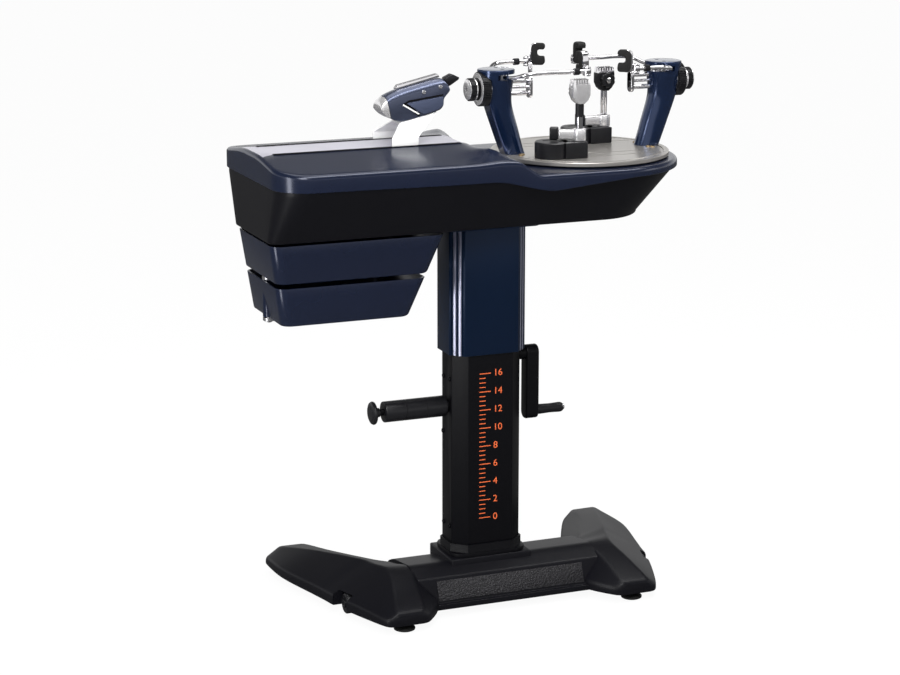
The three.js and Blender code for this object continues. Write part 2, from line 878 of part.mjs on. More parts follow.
piece('crank_shaft', buildCrankShaft(), steel, stand).position.z = crankZ;
piece('crank_arm', buildCrankArm(), blackShell, stand).position.z = crankZ;
piece('crank_grip', buildCrankGrip(), blackPlastic, stand).position.z = crankZ - crankReach;
piece('lift_screw', buildLiftScrew(), steel, stand);
piece('screw_bearing', buildScrewBearing(), steel, stand);
piece('lift_nut', buildLiftNut(), bronze, stand);

// String reel holder on the left of the column
function buildReelRod() {
  const face = columnLength / 2 + gap;
  return turned([
    [reelRodRadius, -reelRodEnd], [reelRodRadius, -face - reelFlangeThick],
    [reelFlangeRadius, -face - reelFlangeThick], [reelFlangeRadius, -face],
    [reelRodRadius, -face], [reelRodRadius, -columnLength / 2 + columnWall + overrun],
  ], 'x');
}

function buildReelSpool() {
  const to = -columnLength / 2 - gap - reelFlangeThick - gap;
  const from = to - reelSpoolLength;
  const edge = reelSeamWidth;
  const profile = [[reelSpoolRadius - edge, from], [reelSpoolRadius, from + edge]];
  for (let i = 1; i <= reelSeams; i += 1) {
    const x = mix(from, to, i / (reelSeams + 1));
    profile.push([reelSpoolRadius, x - reelSeamWidth], [reelSpoolRadius - reelSeamDepth, x - reelSeamWidth / 2],
      [reelSpoolRadius - reelSeamDepth, x + reelSeamWidth / 2], [reelSpoolRadius, x + reelSeamWidth]);
  }
  profile.push([reelSpoolRadius, to - edge], [reelSpoolRadius - edge, to]);
  return cut(turned(profile, 'x'), bore(reelRodRadius, from, to, 'x'));
}

function buildReelKnob() {
  const neckEnd = -reelRodEnd + reelKnobNeck;
  const disc = -reelRodEnd - gap;
  const body = turned([
    [reelKnobRadius * 0.55, disc - reelKnobThick], [reelKnobRadius * 0.9, disc - reelKnobThick * 0.75],
    [reelKnobRadius, disc - reelKnobThick * 0.4], [reelKnobRadius * 0.94, disc - reelKnobThick * 0.08],
    [reelKnobNeckRadius, disc], [reelKnobNeckRadius, neckEnd],
  ], 'x');
  return cut(body, bore(reelRodRadius, disc + overrun, neckEnd, 'x'));
}

for (const [name, body, material] of [
  ['reel_rod', buildReelRod(), steel], ['reel_spool', buildReelSpool(), blackPlastic],
  ['reel_end_knob', buildReelKnob(), blackPlastic],
]) {
  piece(name, body, material, stand).position.z = reelZ;
}

// Housing: a moulded cover whose centre panel falls by an S-shaped ramp to the turntable rim
const cornerShares = [0, 0.25, 0.5, 0.75, 1];
const stationShares = [0.3, 0.5, 0.555, 0.585, 0.61, 0.635, 0.66, 0.685, 0.71,
  0.735, 0.77, 0.81, 0.87, 0.93, 1.0];
const acrossShares = [0, 0.255, 0.42, 0.56, 0.68, 0.8, 0.9, 0.965, 1.0];
const tipShares = [0.14, 0.28, 0.42, 0.56, 0.7, 0.82, 0.92, 1.0];

// The right tip is a half ellipse about the turntable, a little shorter than it is wide
const tipReach = (half) => half - (housingHalf - housingTip);

// Places along X for an outline: the corner's arc, the straight part, then the tip
function stations(left, half, corner, every) {
  const arc = cornerShares.map((share) => -left + corner * (1 - Math.cos((share * Math.PI) / 2)));
  const kept = stationShares.filter((share, i) => (stationShares.length - 1 - i) % every === 0);
  const straight = kept.map((share) => mix(-left, 0, share));
  const tip = tipShares.map((share) => tipReach(half) * Math.sin((share * Math.PI) / 2));
  return [...arc, ...straight, ...tip];
}

function halfWidth(x, left, half, corner) {
  if (x > 0) return half * Math.sqrt(Math.max(1 - (x / tipReach(half)) ** 2, 0));
  const into = x + left;
  if (into < corner) return half - corner + Math.sqrt(Math.max(corner * corner - (corner - into) ** 2, 0));
  return half;
}

function edgeDistance(x, y, left, half, corner) {
  if (x > 0) return half * (1 - Math.hypot(x / tipReach(half), y / half));
  const [cx, cy] = [x + left, half - Math.abs(y)];
  if (cx < corner && cy < corner) return corner - Math.hypot(corner - cx, corner - cy);
  return Math.min(cx, cy);
}

function coverHeight(x, y) {
  const across = Math.abs(y);
  const fall = edgeFall * clamp((across - slotOffset) / (housingHalf - slotOffset), 0, 1);
  const swellX = (x + shoulderX) / shoulderLength;
  const swellY = (across - shoulderY) / shoulderWidth;
  const shoulder = shoulderRise * Math.exp(-swellX * swellX - swellY * swellY);
  const bend = (across / housingHalf) ** 2;
  const ramp = smooth(-rampStart + rampStartCurve * bend, -rampEnd + rampEndCurve * bend, x);
  return mix(panelRise - fall + shoulder, -rimDrop, ramp);
}

function coverTop(x, y) {
  const inward = clamp(edgeDistance(x, y, housingLeft, housingHalf, housingCorner), 0, edgeRound);
  const drop = edgeRound - Math.sqrt(edgeRound * edgeRound - (edgeRound - inward) ** 2);
  return coverHeight(x, y) - drop;
}

function skirtHeight(x) {
  if (x < -skirtBendX) return -skirtLeft - skirtSlope * smooth(-housingLeft, -skirtBendX, x);
  if (x < -skirtDipX) return mix(-skirtLeft - skirtSlope, -skirtDip, smooth(-skirtBendX, -skirtDipX, x));
  return mix(-skirtDip, -skirtRight, clamp((x + skirtDipX) / (skirtRiseX + skirtDipX), 0, 1));
}

// A slab over the housing's plan, with its own top and bottom surfaces; a hidden one keeps fewer places
function planSlab(left, half, corner, topOf, bottomOf, every) {
  const xs = stations(left, half, corner, every);
  const halfShares = acrossShares.filter((share, i) => i % every === 0);
  const ys = [...halfShares.slice(1).reverse().map((s) => -s), ...halfShares];
  const rows = xs.map((x) => ys.map((s) => [x, s * halfWidth(x, left, half, corner)]));
  const columns = ys.length;
  const points = [];
  for (const surface of [topOf, bottomOf]) {
    for (const row of rows) {
      for (const [x, y] of row) points.push(new THREE.Vector3(x, y, surface(x, y)));
    }
  }
  const layer = xs.length * columns;
  const faces = [];
  const quad = (a, b, c, d) => faces.push(a, b, c, a, c, d);
  for (let i = 0; i + 1 < xs.length; i += 1) {
    for (let j = 0; j + 1 < columns; j += 1) {
      const a = i * columns + j;
      quad(a, a + columns, a + columns + 1, a + 1);
      quad(a + layer, a + layer + 1, a + layer + columns + 1, a + layer + columns);
    }
    const near = i * columns;
    const far = near + columns - 1;
    quad(near + layer, near + layer + columns, near + columns, near);
    quad(far, far + columns, far + layer + columns, far + layer);
  }
  for (let j = 0; j + 1 < columns; j += 1) {
    quad(j, j + 1, j + 1 + layer, j + layer);
    const end = (xs.length - 1) * columns + j;
    quad(end + 1, end, end + layer, end + 1 + layer);
  }
  const geometry = new THREE.BufferGeometry().setFromPoints(points);
  geometry.setIndex(faces);
  return solid(geometry);
}

function buildTopCover() {
  const outer = planSlab(housingLeft, housingHalf, housingCorner, coverTop, (x) => skirtHeight(x), 1);
  const inner = planSlab(housingLeft - skirtWall, housingHalf - skirtWall, housingCorner - skirtWall,
    (x, y) => coverHeight(x, y) - coverWall, (x) => skirtHeight(x) - overrun, 2);
  const slots = [-1, 1].map((side) => block([-slotLeft, -slotRight],
    [side * slotOffset - slotWidth / 2, side * slotOffset + slotWidth / 2], [0, 2 * panelRise]));
  const hole = rod(deckHoleRadius, -2 * panelRise, panelRise, 'z', roundSides);
  return cut(outer, inner, ...slots, hole);
}

// The outline of the housing in plan, the right end round about the turntable
function housingOutline(left, half, corner, z) {
  const arc = (share) => (share * Math.PI) / 2;
  const front = [
    ...cornerShares.map((share) => [-left + corner * (1 - Math.cos(arc(share))),
      corner - half - corner * Math.sin(arc(share))]),
    ...[0, ...tipShares].map((share) => [tipReach(half) * Math.sin(arc(share)), -half * Math.cos(arc(share))]),
  ];
  const back = front.slice(0, -1).reverse().map(([x, y]) => [x, -y]);
  return [...front, ...back].map(([x, y]) => new THREE.Vector3(x, y, z));
}

function buildLowerHousing() {
  const lipTop = -rimDrop - coverWall - gap;
  const lipHalf = housingHalf - skirtWall - gap;
  const lipLeft = housingLeft - skirtWall - gap;
  const lipCorner = housingCorner - skirtWall - gap;
  const lipBottom = -skirtLeft - 2 * bodyWall;
  const rings = (wall, top) => [
    housingOutline(bodyBottomLeft - bodyBottomRound - wall, bodyBottomHalf - bodyBottomRound - wall,
      bodyBottomCorner, -housingDepth + wall),
    housingOutline(bodyBottomLeft - wall, bodyBottomHalf - wall, bodyBottomCorner, -housingDepth + bodyBottomRound + wall),
    housingOutline(lipLeft - wall, lipHalf - wall, lipCorner, lipBottom),
    housingOutline(lipLeft - wall, lipHalf - wall, lipCorner, top),
  ];
  return cut(loft(rings(0, lipTop)), loft(rings(bodyWall, lipTop + overrun)));
}

piece('top_cover', buildTopCover(), navy, deck);
piece('lower_housing', buildLowerHousing(), blackShell, deck);

// Turntable: a bearing in the housing, and a plate with a shaft that turns in it
const housingFloor = -housingDepth + bodyWall + gap;

function buildTurntableBearing() {
  const top = -plateThick - gap;
  const outer = turned([
    [bearingFlangeRadius, housingFloor], [bearingFlangeRadius, housingFloor + bearingFlangeThick],
    [bearingTubeRadius + bearingFlangeThick, housingFloor + bearingFlangeThick],
    [bearingTubeRadius, housingFloor + 3 * bearingFlangeThick], [bearingTubeRadius, top],
  ]);
  return cut(outer, bore(shaftRadius, -plateThick - shaftLength - turnGap + overrun, top, 'z', roundSides));
}

function buildTurntablePlate() {
  const plate = turned([
    [shaftRadius, -plateThick - shaftLength], [shaftRadius, -plateThick], [plateRadius - plateBevel / 2, -plateThick],
    [plateRadius, -plateThick + plateBevel / 2], [plateRadius, -plateBevel], [plateRadius - plateBevel, 0],
  ], 'z', 2 * fineSides);
  const grooves = [];
  for (const side of [-1, 1]) {
    for (const edge of [-1, 1]) {
      const y = side * railOffset + edge * (railWidth / 2);
      grooves.push(block([-railHalfLength, railHalfLength], [y - railGroove / 2, y + railGroove / 2],
        [-railGrooveDepth, overrun]));
    }
  }
  return cut(plate, ...grooves);
}

piece('turntable_bearing', buildTurntableBearing(), steel, deck);
piece('turntable_plate', buildTurntablePlate(), silver, deck);

// Posts: cast arms that lean outwards and swell to a flat cap, slotted for the side arms
// Each row: height, lean and size towards the top, length and width factors, flatness of the outer face
const postShares = [
  [0, 0, 0, 1.0, 1.06, 1], [0.14, 0.22, 0.06, 1.0, 1.02, 1], [0.3, 0.45, 0.14, 1.0, 1.0, 1],
  [0.56, 0.82, 0.22, 1.0, 1.04, 1], [0.72, 0.92, 0.4, 1.0, 1.04, 0.8],
  [0.87, 0.975, 0.78, 1.0, 1.02, 0.3], [0.955, 1.0, 1.0, 1.0, 1.0, 0], [1.0, 1.0, 1.0, 1.0, 1.0, 0],
];

function buildPost() {
  const flatTurn = (2 * 2 * Math.PI) / postSides;
  const rings = postShares.map(([height, lean, growth, lengthwise, crosswise, flat]) => {
    const centre = -mix(postBaseX, postTopX, lean);
    const radius = mix(postBaseRadius, postTopRadius, growth);
    const stretch = mix(1, 1 / Math.cos(flatTurn), flat);
    const ring = [];
    for (let i = 0; i < postSides; i += 1) {
      const turn = (2 * Math.PI * i) / postSides;
      const along = -Math.cos(turn);
      const outward = along > 0 ? Math.min(along * stretch, 1) : along;
      ring.push(new THREE.Vector3(centre - radius * lengthwise * outward,
        radius * crosswise * Math.sin(turn), mix(gap, postHeight, height)));
    }
    return ring;
  });
  const boss = turned([[postBossRadius * 0.8, -postBossEnd], [postBossRadius, -postBossEnd + postBossChamfer],
    [postBossRadius, -postTopX]], 'x').translate(0, 0, knobAxisZ);
  const slot = block([-armSlotOuter, -postBaseX / 2], [-2 * postTopRadius, 2 * postTopRadius],
    [armSlotZ - armSlotHeight / 2, armSlotZ + armSlotHeight / 2]);
  const stubEnd = armSlotHeight / 2 + armStubReach - overrun;
  const stubHoles = [-1, 1].map((side) => bore(armStubRadius, armSlotZ - stubEnd, armSlotZ + stubEnd)
    .translate(-armHubX, side * armHubY, 0));
  const spindleHole = bore(spindleRadius, -postBossEnd, -spindleEnd + gap - overrun, 'x').translate(0, 0, knobAxisZ);
  const rodHoles = [-1, 1].map((side) => bore(supportRodRadius, -supportRodEnd - gap + overrun, -postBaseX / 2, 'x')
    .translate(0, 0, knobAxisZ + (side * supportRodSpacing) / 2));
  const wheelRelief = bore(armWheelRadius, -postTopX - 2 * postTopRadius, -postBossEnd - overrun, 'x', fineSides)
    .translate(0, 0, knobAxisZ);
  return cut(join(loft(rings), boss), slot, wheelRelief, ...stubHoles, spindleHole, ...rodHoles);
}

// Big wheel that swings the side arms, with a knurled rim
function buildArmWheel() {
  const knurl = prism(ribbedOutline(armWheelRadius, armWheelRibDepth, armWheelRibs, knurlShares), 0, armWheelThick);
  return cut(knurl, bore(spindleRadius, 0, armWheelThick)).rotate([0, -90, 0]).translate(-armWheelStart, 0, knobAxisZ);
}

// Small knob that moves the inner support, with a hub and a hexagon socket
function buildSupportKnob() {
  const length = supportKnobEnd - supportKnobStart;
  const knurl = prism(ribbedOutline(supportKnobRadius, supportKnobRibDepth, supportKnobRibs, knurlShares), length * 0.25,
    length * 0.85);
  const hub = turned([
    [spindleRadius, spindleEnd - supportKnobStart], [spindleRadius, -turnGap],
    [supportKnobHubRadius, -turnGap], [supportKnobHubRadius * 1.3, length * 0.25],
    [supportKnobRadius - 2 * supportKnobRibDepth, length * 0.3], [supportKnobRadius - 2 * supportKnobRibDepth,
      length * 0.85], [supportKnobHubRadius, length],
  ]);
  const socket = rod(knobSocketRadius, length - knobSocketDepth, length + overrun, 'z', 6);
  return cut(join(knurl, hub), socket).rotate([0, -90, 0]).translate(-supportKnobStart, 0, knobAxisZ);
}

// Inner support: two guide rods, an end block and the tongue that the frame rests on
function buildInnerSupport() {
  const rods = [-1, 1].map((side) => rod(supportRodRadius, -supportRodEnd, -supportBlockX - bite, 'x')
    .translate(0, 0, knobAxisZ + (side * supportRodSpacing) / 2));
  const outline = rounded(supportBlockWidth / 2, supportBlockHeight / 2, supportBlockWidth / 2 - bite);
  const shape = new THREE.Shape(outline.map(([y, z]) => new THREE.Vector2(y, z)));
  const geometry = new THREE.ExtrudeGeometry(shape, { depth: supportBlockThick, bevelEnabled: false });
  geometry.rotateX(Math.PI / 2);
  geometry.rotateZ(Math.PI / 2);
  geometry.translate(-supportBlockX - supportBlockThick, 0, knobAxisZ);
  const tongue = block([-supportBlockX - supportTongueThick, -supportBlockX],
    [-supportTongueWidth / 2, supportTongueWidth / 2], [knobAxisZ, supportTongueTop]);
  return join(solid(geometry), tongue, ...rods);
}

// Side arm: a hub pinned in the post's slot, a cranked bar and an eye for the pad
function buildSideArm(front, end, bend) {
  const side = front ? -1 : 1;
  const half = armSlotHeight / 2 - turnGap;
  const hub = turned([
    [armStubRadius, armSlotZ - half - armStubReach + bite], [armStubRadius, armSlotZ - half],
    [armHubRadius, armSlotZ - half], [armHubRadius, armSlotZ + half],
    [armStubRadius, armSlotZ + half], [armStubRadius, armSlotZ + half + armStubReach - bite],
  ], 'z', smallSides).translate(-armHubX, side * armHubY, 0);
  const places = [
    [-armHubX, side * (armHubY + armNeck), armSlotZ],
    [-armHubX, side * mix(armHubY, barY, 0.3), armSlotZ],
    [-mix(bend, armHubX, 0.82), side * mix(armHubY, barY, 0.62), mix(armSlotZ, barZ, 0.25)],
    [-mix(bend, armHubX, 0.4), side * mix(armHubY, barY, 0.93), mix(armSlotZ, barZ, 0.85)],
    [-bend, side * barY, barZ],
    [-mix(end, bend, 0.5), side * barY, barZ],
    [-end, side * barY, barZ],
  ];
  const bar = bentBar(places, barRadius, barSteps, barSides);
  const eye = rod(eyeRadius, barZ - eyeHeight / 2, barZ + eyeHeight / 2).translate(-end, side * barY, 0);
  const pinHole = bore(padPinRadius, barZ - eyeHeight / 2, barZ + eyeHeight / 2).translate(-end, side * barY, 0);
  return cut(join(hub, bar, eye), pinHole);
}

// Pad: a C-shaped jaw on a pin that turns in the arm's eye; its mouth opens to +X
function buildPad() {
  const pinTop = barZ + eyeHeight / 2 + gap;
  const pinBottom = barZ - eyeHeight / 2 - gap;
  const start = eyeRadius + turnGap;
  const [low, high] = [padBottom, padBottom + padHeight];
  const middle = mix(low, high, 0.56);
  const [c, m, d] = [padCorner, padMouth / 2, padDepth];
  const back = start + d - padMouthDepth;
  const outline = [
    [start, low + c], [start + c * 0.3, low + c * 0.3], [start + c, low], [start + d - c * 0.5, low],
    [start + d, low + c * 0.5], [start + d - c * 0.3, middle - m], [back + m * 0.6, middle - m],
    [back, middle - m * 0.5], [back, middle + m * 0.5], [back + m * 0.6, middle + m],
    [start + d - c * 0.3, middle + m], [start + d, high - c * 0.5], [start + d - c * 0.5, high],
    [start + c, high], [start + c * 0.3, high - c * 0.3], [start, high - c],
  ];
  const jaw = sidePlate(outline, -padWidth / 2, padWidth / 2);
  const lugHalf = eyeRadius * 0.75;
  const lugs = [[pinTop, pinTop + padLugThick], [pinBottom - padLugThick, pinBottom]].map((span) => join(
    rod(eyeRadius - bite, ...span), block([0, start + padLugThick], [-lugHalf, lugHalf], span)));
  const pin = rod(padPinRadius, pinBottom - bite, pinTop + bite);
  return join(jaw, ...lugs, pin);
}

// Each row: whether the arm is on the front side of the left post, its reach, its bend and its pad's yaw
const armPlans = [
  [true, longArmEnd, longArmBend, longArmYaw],
  [false, shortArmEnd, shortArmBend, shortArmYaw],
];
for (const [name, turn] of [['left', 0], ['right', Math.PI]]) {
  const end = new THREE.Group();
  end.rotation.z = turn;
  deck.add(end);
  piece(`post_${name}`, buildPost(), postBlue, end);
  piece(`arm_wheel_${name}`, buildArmWheel(), blackPlastic, end);
  piece(`support_knob_${name}`, buildSupportKnob(), blackPlastic, end);
  piece(`inner_support_${name}`, buildInnerSupport(), chrome, end);
  for (const [front, reach, bend, yaw] of armPlans) {
    const side = front ? -1 : 1;
    const facing = (turn === 0) === front ? 'front' : 'back';
    piece(`side_arm_${name}_${facing}`, buildSideArm(front, reach, bend), chrome, end);
    const pad = piece(`frame_pad_${name}_${facing}`, buildPad(), rubber, end);
    pad.position.set(-reach, side * barY, 0);
    pad.rotation.z = yaw * degrees;
  }
}

// String clamps: a base on the plate, a lock lever, a swivelling post with toothed jaws, and a jaw knob
function buildClampBase() {
  const disc = turned([
    [clampDiscRadius, gap], [clampDiscRadius, clampBaseHeight - clampEdge],
    [clampDiscRadius - clampEdge, clampBaseHeight],
  ], 'z', fineSides).translate(-clampDiscX, clampDiscY, 0);
  const body = block([-clampBlockLeft, clampBlockRight], [-clampBlockWidth / 2, clampBlockWidth / 2],
    [gap, clampBaseHeight]);
  return cut(join(disc, body), bore(clampPostRadius, clampBaseHeight / 3 + overrun, clampBaseHeight));
}

function buildClampLever() {
  const low = clampBaseHeight + gap;
  const high = low + clampLeverHeight;
  const ring = rod(clampLeverRadius, low, high, 'z', roundSides);
  const arm = block([-clampLeverLength, 0], [-clampLeverWidth / 2, clampLeverWidth / 2],
    [low + clampEdge, high - clampEdge]);
  const end = prism(chamfered(clampLeverEnd, clampLeverEndWidth, clampEdge * 2), low + clampEdge, high + clampEdge)
    .translate(-clampLeverLength - clampLeverEnd / 2, 0, 0);
  return cut(join(ring, arm, end), bore(clampPostRadius, low, high));
}

function buildClampPost() {
  const post = turned([
    [clampPostRadius, clampBaseHeight / 3 + gap], [clampPostRadius, clampSleeveBottom],
    [clampSleeveRadius, clampSleeveBottom], [clampSleeveRadius, clampSleeveTop],
    [clampPostRadius, clampSleeveTop], [clampPostRadius, clampSleeveTop + overrun],
  ]);
  const [half, top, low] = [clampHeadWidth / 2, clampHeadTop, clampSleeveTop];
  const outline = [
    [-half * 0.35, low], [half * 0.35, low], [half * 0.8, mix(low, top, 0.18)], [half, mix(low, top, 0.4)],
    [half, mix(low, top, 0.72)], [half * 0.86, top], [-half * 0.86, top], [-half, mix(low, top, 0.72)],
    [-half, mix(low, top, 0.4)], [-half * 0.8, mix(low, top, 0.18)],
  ];
  const head = sidePlate(outline, -clampHeadThick / 2, clampHeadThick / 2);
  const slit = block([-clampHeadWidth, clampHeadWidth], [-clampJawGap / 2, clampJawGap / 2],
    [top - clampJawDepth, top + overrun]);
  const cuts = [];
  for (let i = 0; i + 1 < clampTeeth; i += 1) {
    const x = mix(-half * 0.86, half * 0.86, (i + 1) / clampTeeth);
    const width = clampHeadWidth / clampTeeth / 2;
    cuts.push(block([x - width / 2, x + width / 2], [-clampHeadThick, clampHeadThick],
      [top - clampToothDepth, top + overrun]));
  }
  const pinHole = bore(clampKnobPinRadius, clampHeadThick / 2 - clampKnobPinDepth - gap + overrun, clampHeadThick)
    .rotate([90, 0, 0]).translate(0, 0, clampKnobZ);
  return cut(join(post, head), slit, ...cuts, pinHole);
}

function buildClampKnob() {
  const face = clampHeadThick / 2 + gap;
  const knob = turned([
    [clampKnobPinRadius, face - clampKnobPinDepth], [clampKnobPinRadius, face], [clampKnobRadius, face],
    [clampKnobRadius, face + clampKnobThick - clampEdge], [clampKnobRadius - clampEdge, face + clampKnobThick],
  ]);
  const grips = [];
  for (let i = 0; i < clampGrips; i += 1) {
    const turn = (i / clampGrips) * 2 * Math.PI;
    grips.push(rod(clampGripRadius, face + clampEdge, face + clampKnobThick + overrun)
      .translate(clampKnobRadius * Math.cos(turn), clampKnobRadius * Math.sin(turn), 0));
  }
  return cut(knob, ...grips).rotate([90, 0, 0]).translate(0, 0, clampKnobZ);
}

for (const [name, x, y, leverTurn, swivel] of [
  ['front', frontClampX, frontClampY, frontLeverTurn, 180], ['rear', rearClampX, rearClampY, rearLeverTurn, 0],
]) {
  const place = (mesh, yaw) => {
    mesh.position.set(x, y, 0);
    mesh.rotation.z = yaw * degrees;
  };
  place(piece(`clamp_base_${name}`, buildClampBase(), blackPlastic, deck), 0);
  place(piece(`clamp_lever_${name}`, buildClampLever(), silver, deck), leverTurn);
  place(piece(`clamp_post_${name}`, buildClampPost(), chrome, deck), swivel);
  place(piece(`clamp_knob_${name}`, buildClampKnob(), blackPlastic, deck), swivel);
}

// Tension drive: rails in the housing, a motor with a screw, and the carriage that carries the head
const railHeight = railRodZ + railRodRadius + railTopLip;
const railEndHalf = railRodSpacing / 2 + railEndLip;

function buildCarriageRails() {
  const ends = [[-railLeft, -railLeft + railEndThick], [-railRight - railEndThick, -railRight]].map((span) => (
    block(span, [-railEndHalf, railEndHalf], [housingFloor, railHeight])));
  const rods = [-1, 1].map((side) => rod(railRodRadius, -railLeft + bite, -railRight - bite, 'x')
    .translate(0, (side * railRodSpacing) / 2, railRodZ));
  const hole = bore(tensionScrewRadius, -railRight - railEndThick, -railRight, 'x').translate(0, 0, railRodZ);
  return join(cut(join(...ends), hole), ...rods);
}

function buildTensionScrew() {
  const motorFace = -railLeft + railEndThick + gap + motorLength;
  return turned([
    [motorShaftRadius, motorFace - motorShaftReach + gap], [motorShaftRadius, motorFace + motorShaftReach / 2],
    [tensionScrewRadius, motorFace + motorShaftReach / 2], [tensionScrewRadius, -railRight + overrun / 2],
  ], 'x').translate(0, 0, railRodZ);
}

function buildMotor() {
  const from = -railLeft + railEndThick + gap;
  const to = from + motorLength;
  const body = rod(motorRadius, from, to, 'x', roundSides).translate(0, 0, railRodZ);
  const cradle = block([from + motorCradleInset, to - motorCradleInset], [-motorRadius * 0.7, motorRadius * 0.7],
    [housingFloor, railRodZ - motorRadius * 0.6]);
  const relief = [-1, 1].map((side) => bore(railRodRadius, from, to, 'x')
    .translate(0, (side * railRodSpacing) / 2, railRodZ));
  const shaftHole = bore(motorShaftRadius, to - motorShaftReach + overrun, to, 'x').translate(0, 0, railRodZ);
  return cut(join(body, cradle), ...relief, shaftHole);
}

function buildCarriage() {
  const span = [carriageX - carriageLength / 2, carriageX + carriageLength / 2];
  const body = block(span, [-carriageWidth / 2, carriageWidth / 2],
    [railRodZ - carriageHeight / 2, railRodZ + carriageHeight / 2]);
  const bores = [-1, 1].map((side) => bore(railRodRadius, ...span, 'x')
    .translate(0, (side * railRodSpacing) / 2, railRodZ));
  const nut = bore(tensionScrewRadius, ...span, 'x').translate(0, 0, railRodZ);
  const wing = slotOffset + legThick / 2;
  const wings = block([carriageX - legLength / 2, carriageX + legLength / 2], [-wing, wing],
    [railRodZ, railRodZ + carriageHeight / 2]);
  const legs = [-1, 1].map((side) => block([carriageX - legLength / 2, carriageX + legLength / 2],
    [side * slotOffset - legThick / 2, side * slotOffset + legThick / 2], [railRodZ, legTop]));
  return cut(join(body, wings, ...legs), ...bores, nut);
}

const pitch = headPitch * degrees;

// Bracket: a sheet bridge over the centre panel, upright to its knee, then leaning up to the head's underside
function buildHeadBracket() {
  const bottom = legTop + gap;
  const foot = slotOffset + legThick / 2 + bracketFootEdge;
  const shoulder = bracketTopWidth / 2;
  const arch = (side, inset) => [
    [side * (foot - inset), 0], [side * (foot - inset), bracketShoulderShare - inset / bracketHeight / 2],
    [side * (shoulder - inset / 2), 1 - inset / bracketHeight],
  ];
  const outline = [...arch(-1, 0), ...arch(1, 0).reverse(), ...arch(1, bracketThick),
    ...arch(-1, bracketThick).reverse()];
  const geometry = geometryOf(crossPlate(outline, -bracketLength / 2, bracketLength / 2));
  const slope = Math.tan(pitch);
  const reach = headHeight / 2 + gap;
  const [underX, underZ] = [headX + reach * Math.sin(pitch), headZ - reach * Math.cos(pitch)];
  const places = geometry.attributes.position;
  for (let i = 0; i < places.count; i += 1) {
    const x = carriageX + places.getX(i);
    const share = places.getZ(i);
    const top = (underZ + slope * (x - bracketLean * bracketKnee - underX)) / (1 - bracketLean * slope);
    const above = (share - bracketShoulderShare) / (1 - bracketShoulderShare);
    const z = above > 0 ? mix(bracketKnee, top, above) : mix(bracketKnee, bottom, 1 - share / bracketShoulderShare);
    places.setXYZ(i, x + bracketLean * Math.max(z - bracketKnee, 0), places.getY(i), z);
  }
  return solid(geometry);
}

// Head: a capsule with its nose up; the outline is in shares of its length and height
const headShares = [
  [-0.5, 0.08], [-0.487, 0.22], [-0.449, 0.32], [-0.378, 0.406], [-0.269, 0.466], [-0.128, 0.495], [0, 0.5],
  [0.295, 0.5], [0.442, 0.469], [0.487, 0.36], [0.5, 0.125], [0.474, 0], [0.385, -0.14], [0.365, -0.36],
  [0.308, -0.47], [0.09, -0.5], [-0.154, -0.5], [-0.269, -0.47], [-0.359, -0.375], [-0.442, -0.195], [-0.487, -0.03],
];
const leverShares = [[-0.139, 0.04], [0.378, -0.07], [0.359, -0.33], [0.288, -0.43], [0.06, -0.45]];
// The nose guide's shares are of its own length and height, from the head's right end
const noseShares = [[0, 0], [0.25, 0.05], [0.9, 0.36], [1, 0.53], [0.57, 1], [0, 0.84], [-0.06, 0.65]];
const jawCentreShare = 0.112;

const head = new THREE.Group();
head.position.set(headX, 0, headZ);
head.rotation.y = -pitch;
deck.add(head);

const headPoint = ([along, up]) => [along * headLength, up * headHeight];

function buildHeadBody() {
  return sidePlate(headShares.map(headPoint), -headThick / 2, headThick / 2, headRound);
}

function buildReleaseLever() {
  return sidePlate(leverShares.map(headPoint), -headThick / 2 - gap - leverThick, -headThick / 2 - gap);
}

function buildGripperJaw(side) {
  const near = side * (jawGap / 2);
  const far = side * (jawGap / 2 + jawThick);
  const bottom = headHeight / 2 + jawLift;
  const outline = [
    [-jawLength / 2, bottom], [jawLength / 2, bottom], [jawLength / 2, bottom + jawHeight * 0.6],
    [jawLength / 2 - jawHeight * 0.5, bottom + jawHeight], [-jawLength / 2 + jawHeight * 0.8, bottom + jawHeight],
    [-jawLength / 2, bottom + jawHeight * 0.4],
  ];
  return sidePlate(outline, Math.min(near, far), Math.max(near, far)).translate(headLength * jawCentreShare, 0, 0);
}

function buildNoseGuide() {
  const outline = noseShares.map(([along, up]) => [headLength / 2 + gap + along * noseLength,
    noseBottom + up * noseHeight]);
  return sidePlate(outline, -noseThick / 2, noseThick / 2);
}

piece('carriage_rails', buildCarriageRails(), steel, deck);
piece('tension_motor', buildMotor(), steel, deck);
piece('tension_screw', buildTensionScrew(), steel, deck);
piece('tension_carriage', buildCarriage(), steel, deck);
piece('head_bracket', buildHeadBracket(), whitePaint, deck);
piece('tension_head', buildHeadBody(), postBlue, head);
piece('release_lever', buildReleaseLever(), greyBlue, head);
piece('gripper_jaw_fixed', buildGripperJaw(1), chrome, head);
piece('gripper_jaw_moving', buildGripperJaw(-1), chrome, head);
piece('nose_guide', buildNoseGuide(), blackPlastic, head);

// Tool trays: two open boxes, one above the other, that swing out about one pivot rod
function trayRings(level, wall, rise) {
  const total = 2 * trayHeight + trayGap;
  const at = (depth) => {
    const t = depth / total;
    const left = trayLeft - trayLeftLean * t - wall;
    const right = trayRight + trayRightLean * t + wall;
    const half = mix(trayTopHalf, trayBottomHalf, t) - wall;
    const middle = -(left + right) / 2;
    return rounded((left - right) / 2, half, trayCorner - wall / 2)
      .map(([x, y]) => new THREE.Vector3(middle + x, y, -trayTop - depth));
  };
  const top = level * (trayHeight + trayGap);
  const rings = [at(top), at(top + trayHeight)];
  if (rise > 0) {
    rings[0].forEach((p) => p.setZ(p.z + rise));
    rings[1].forEach((p) => p.setZ(p.z + wall));
  }
  return rings;
}

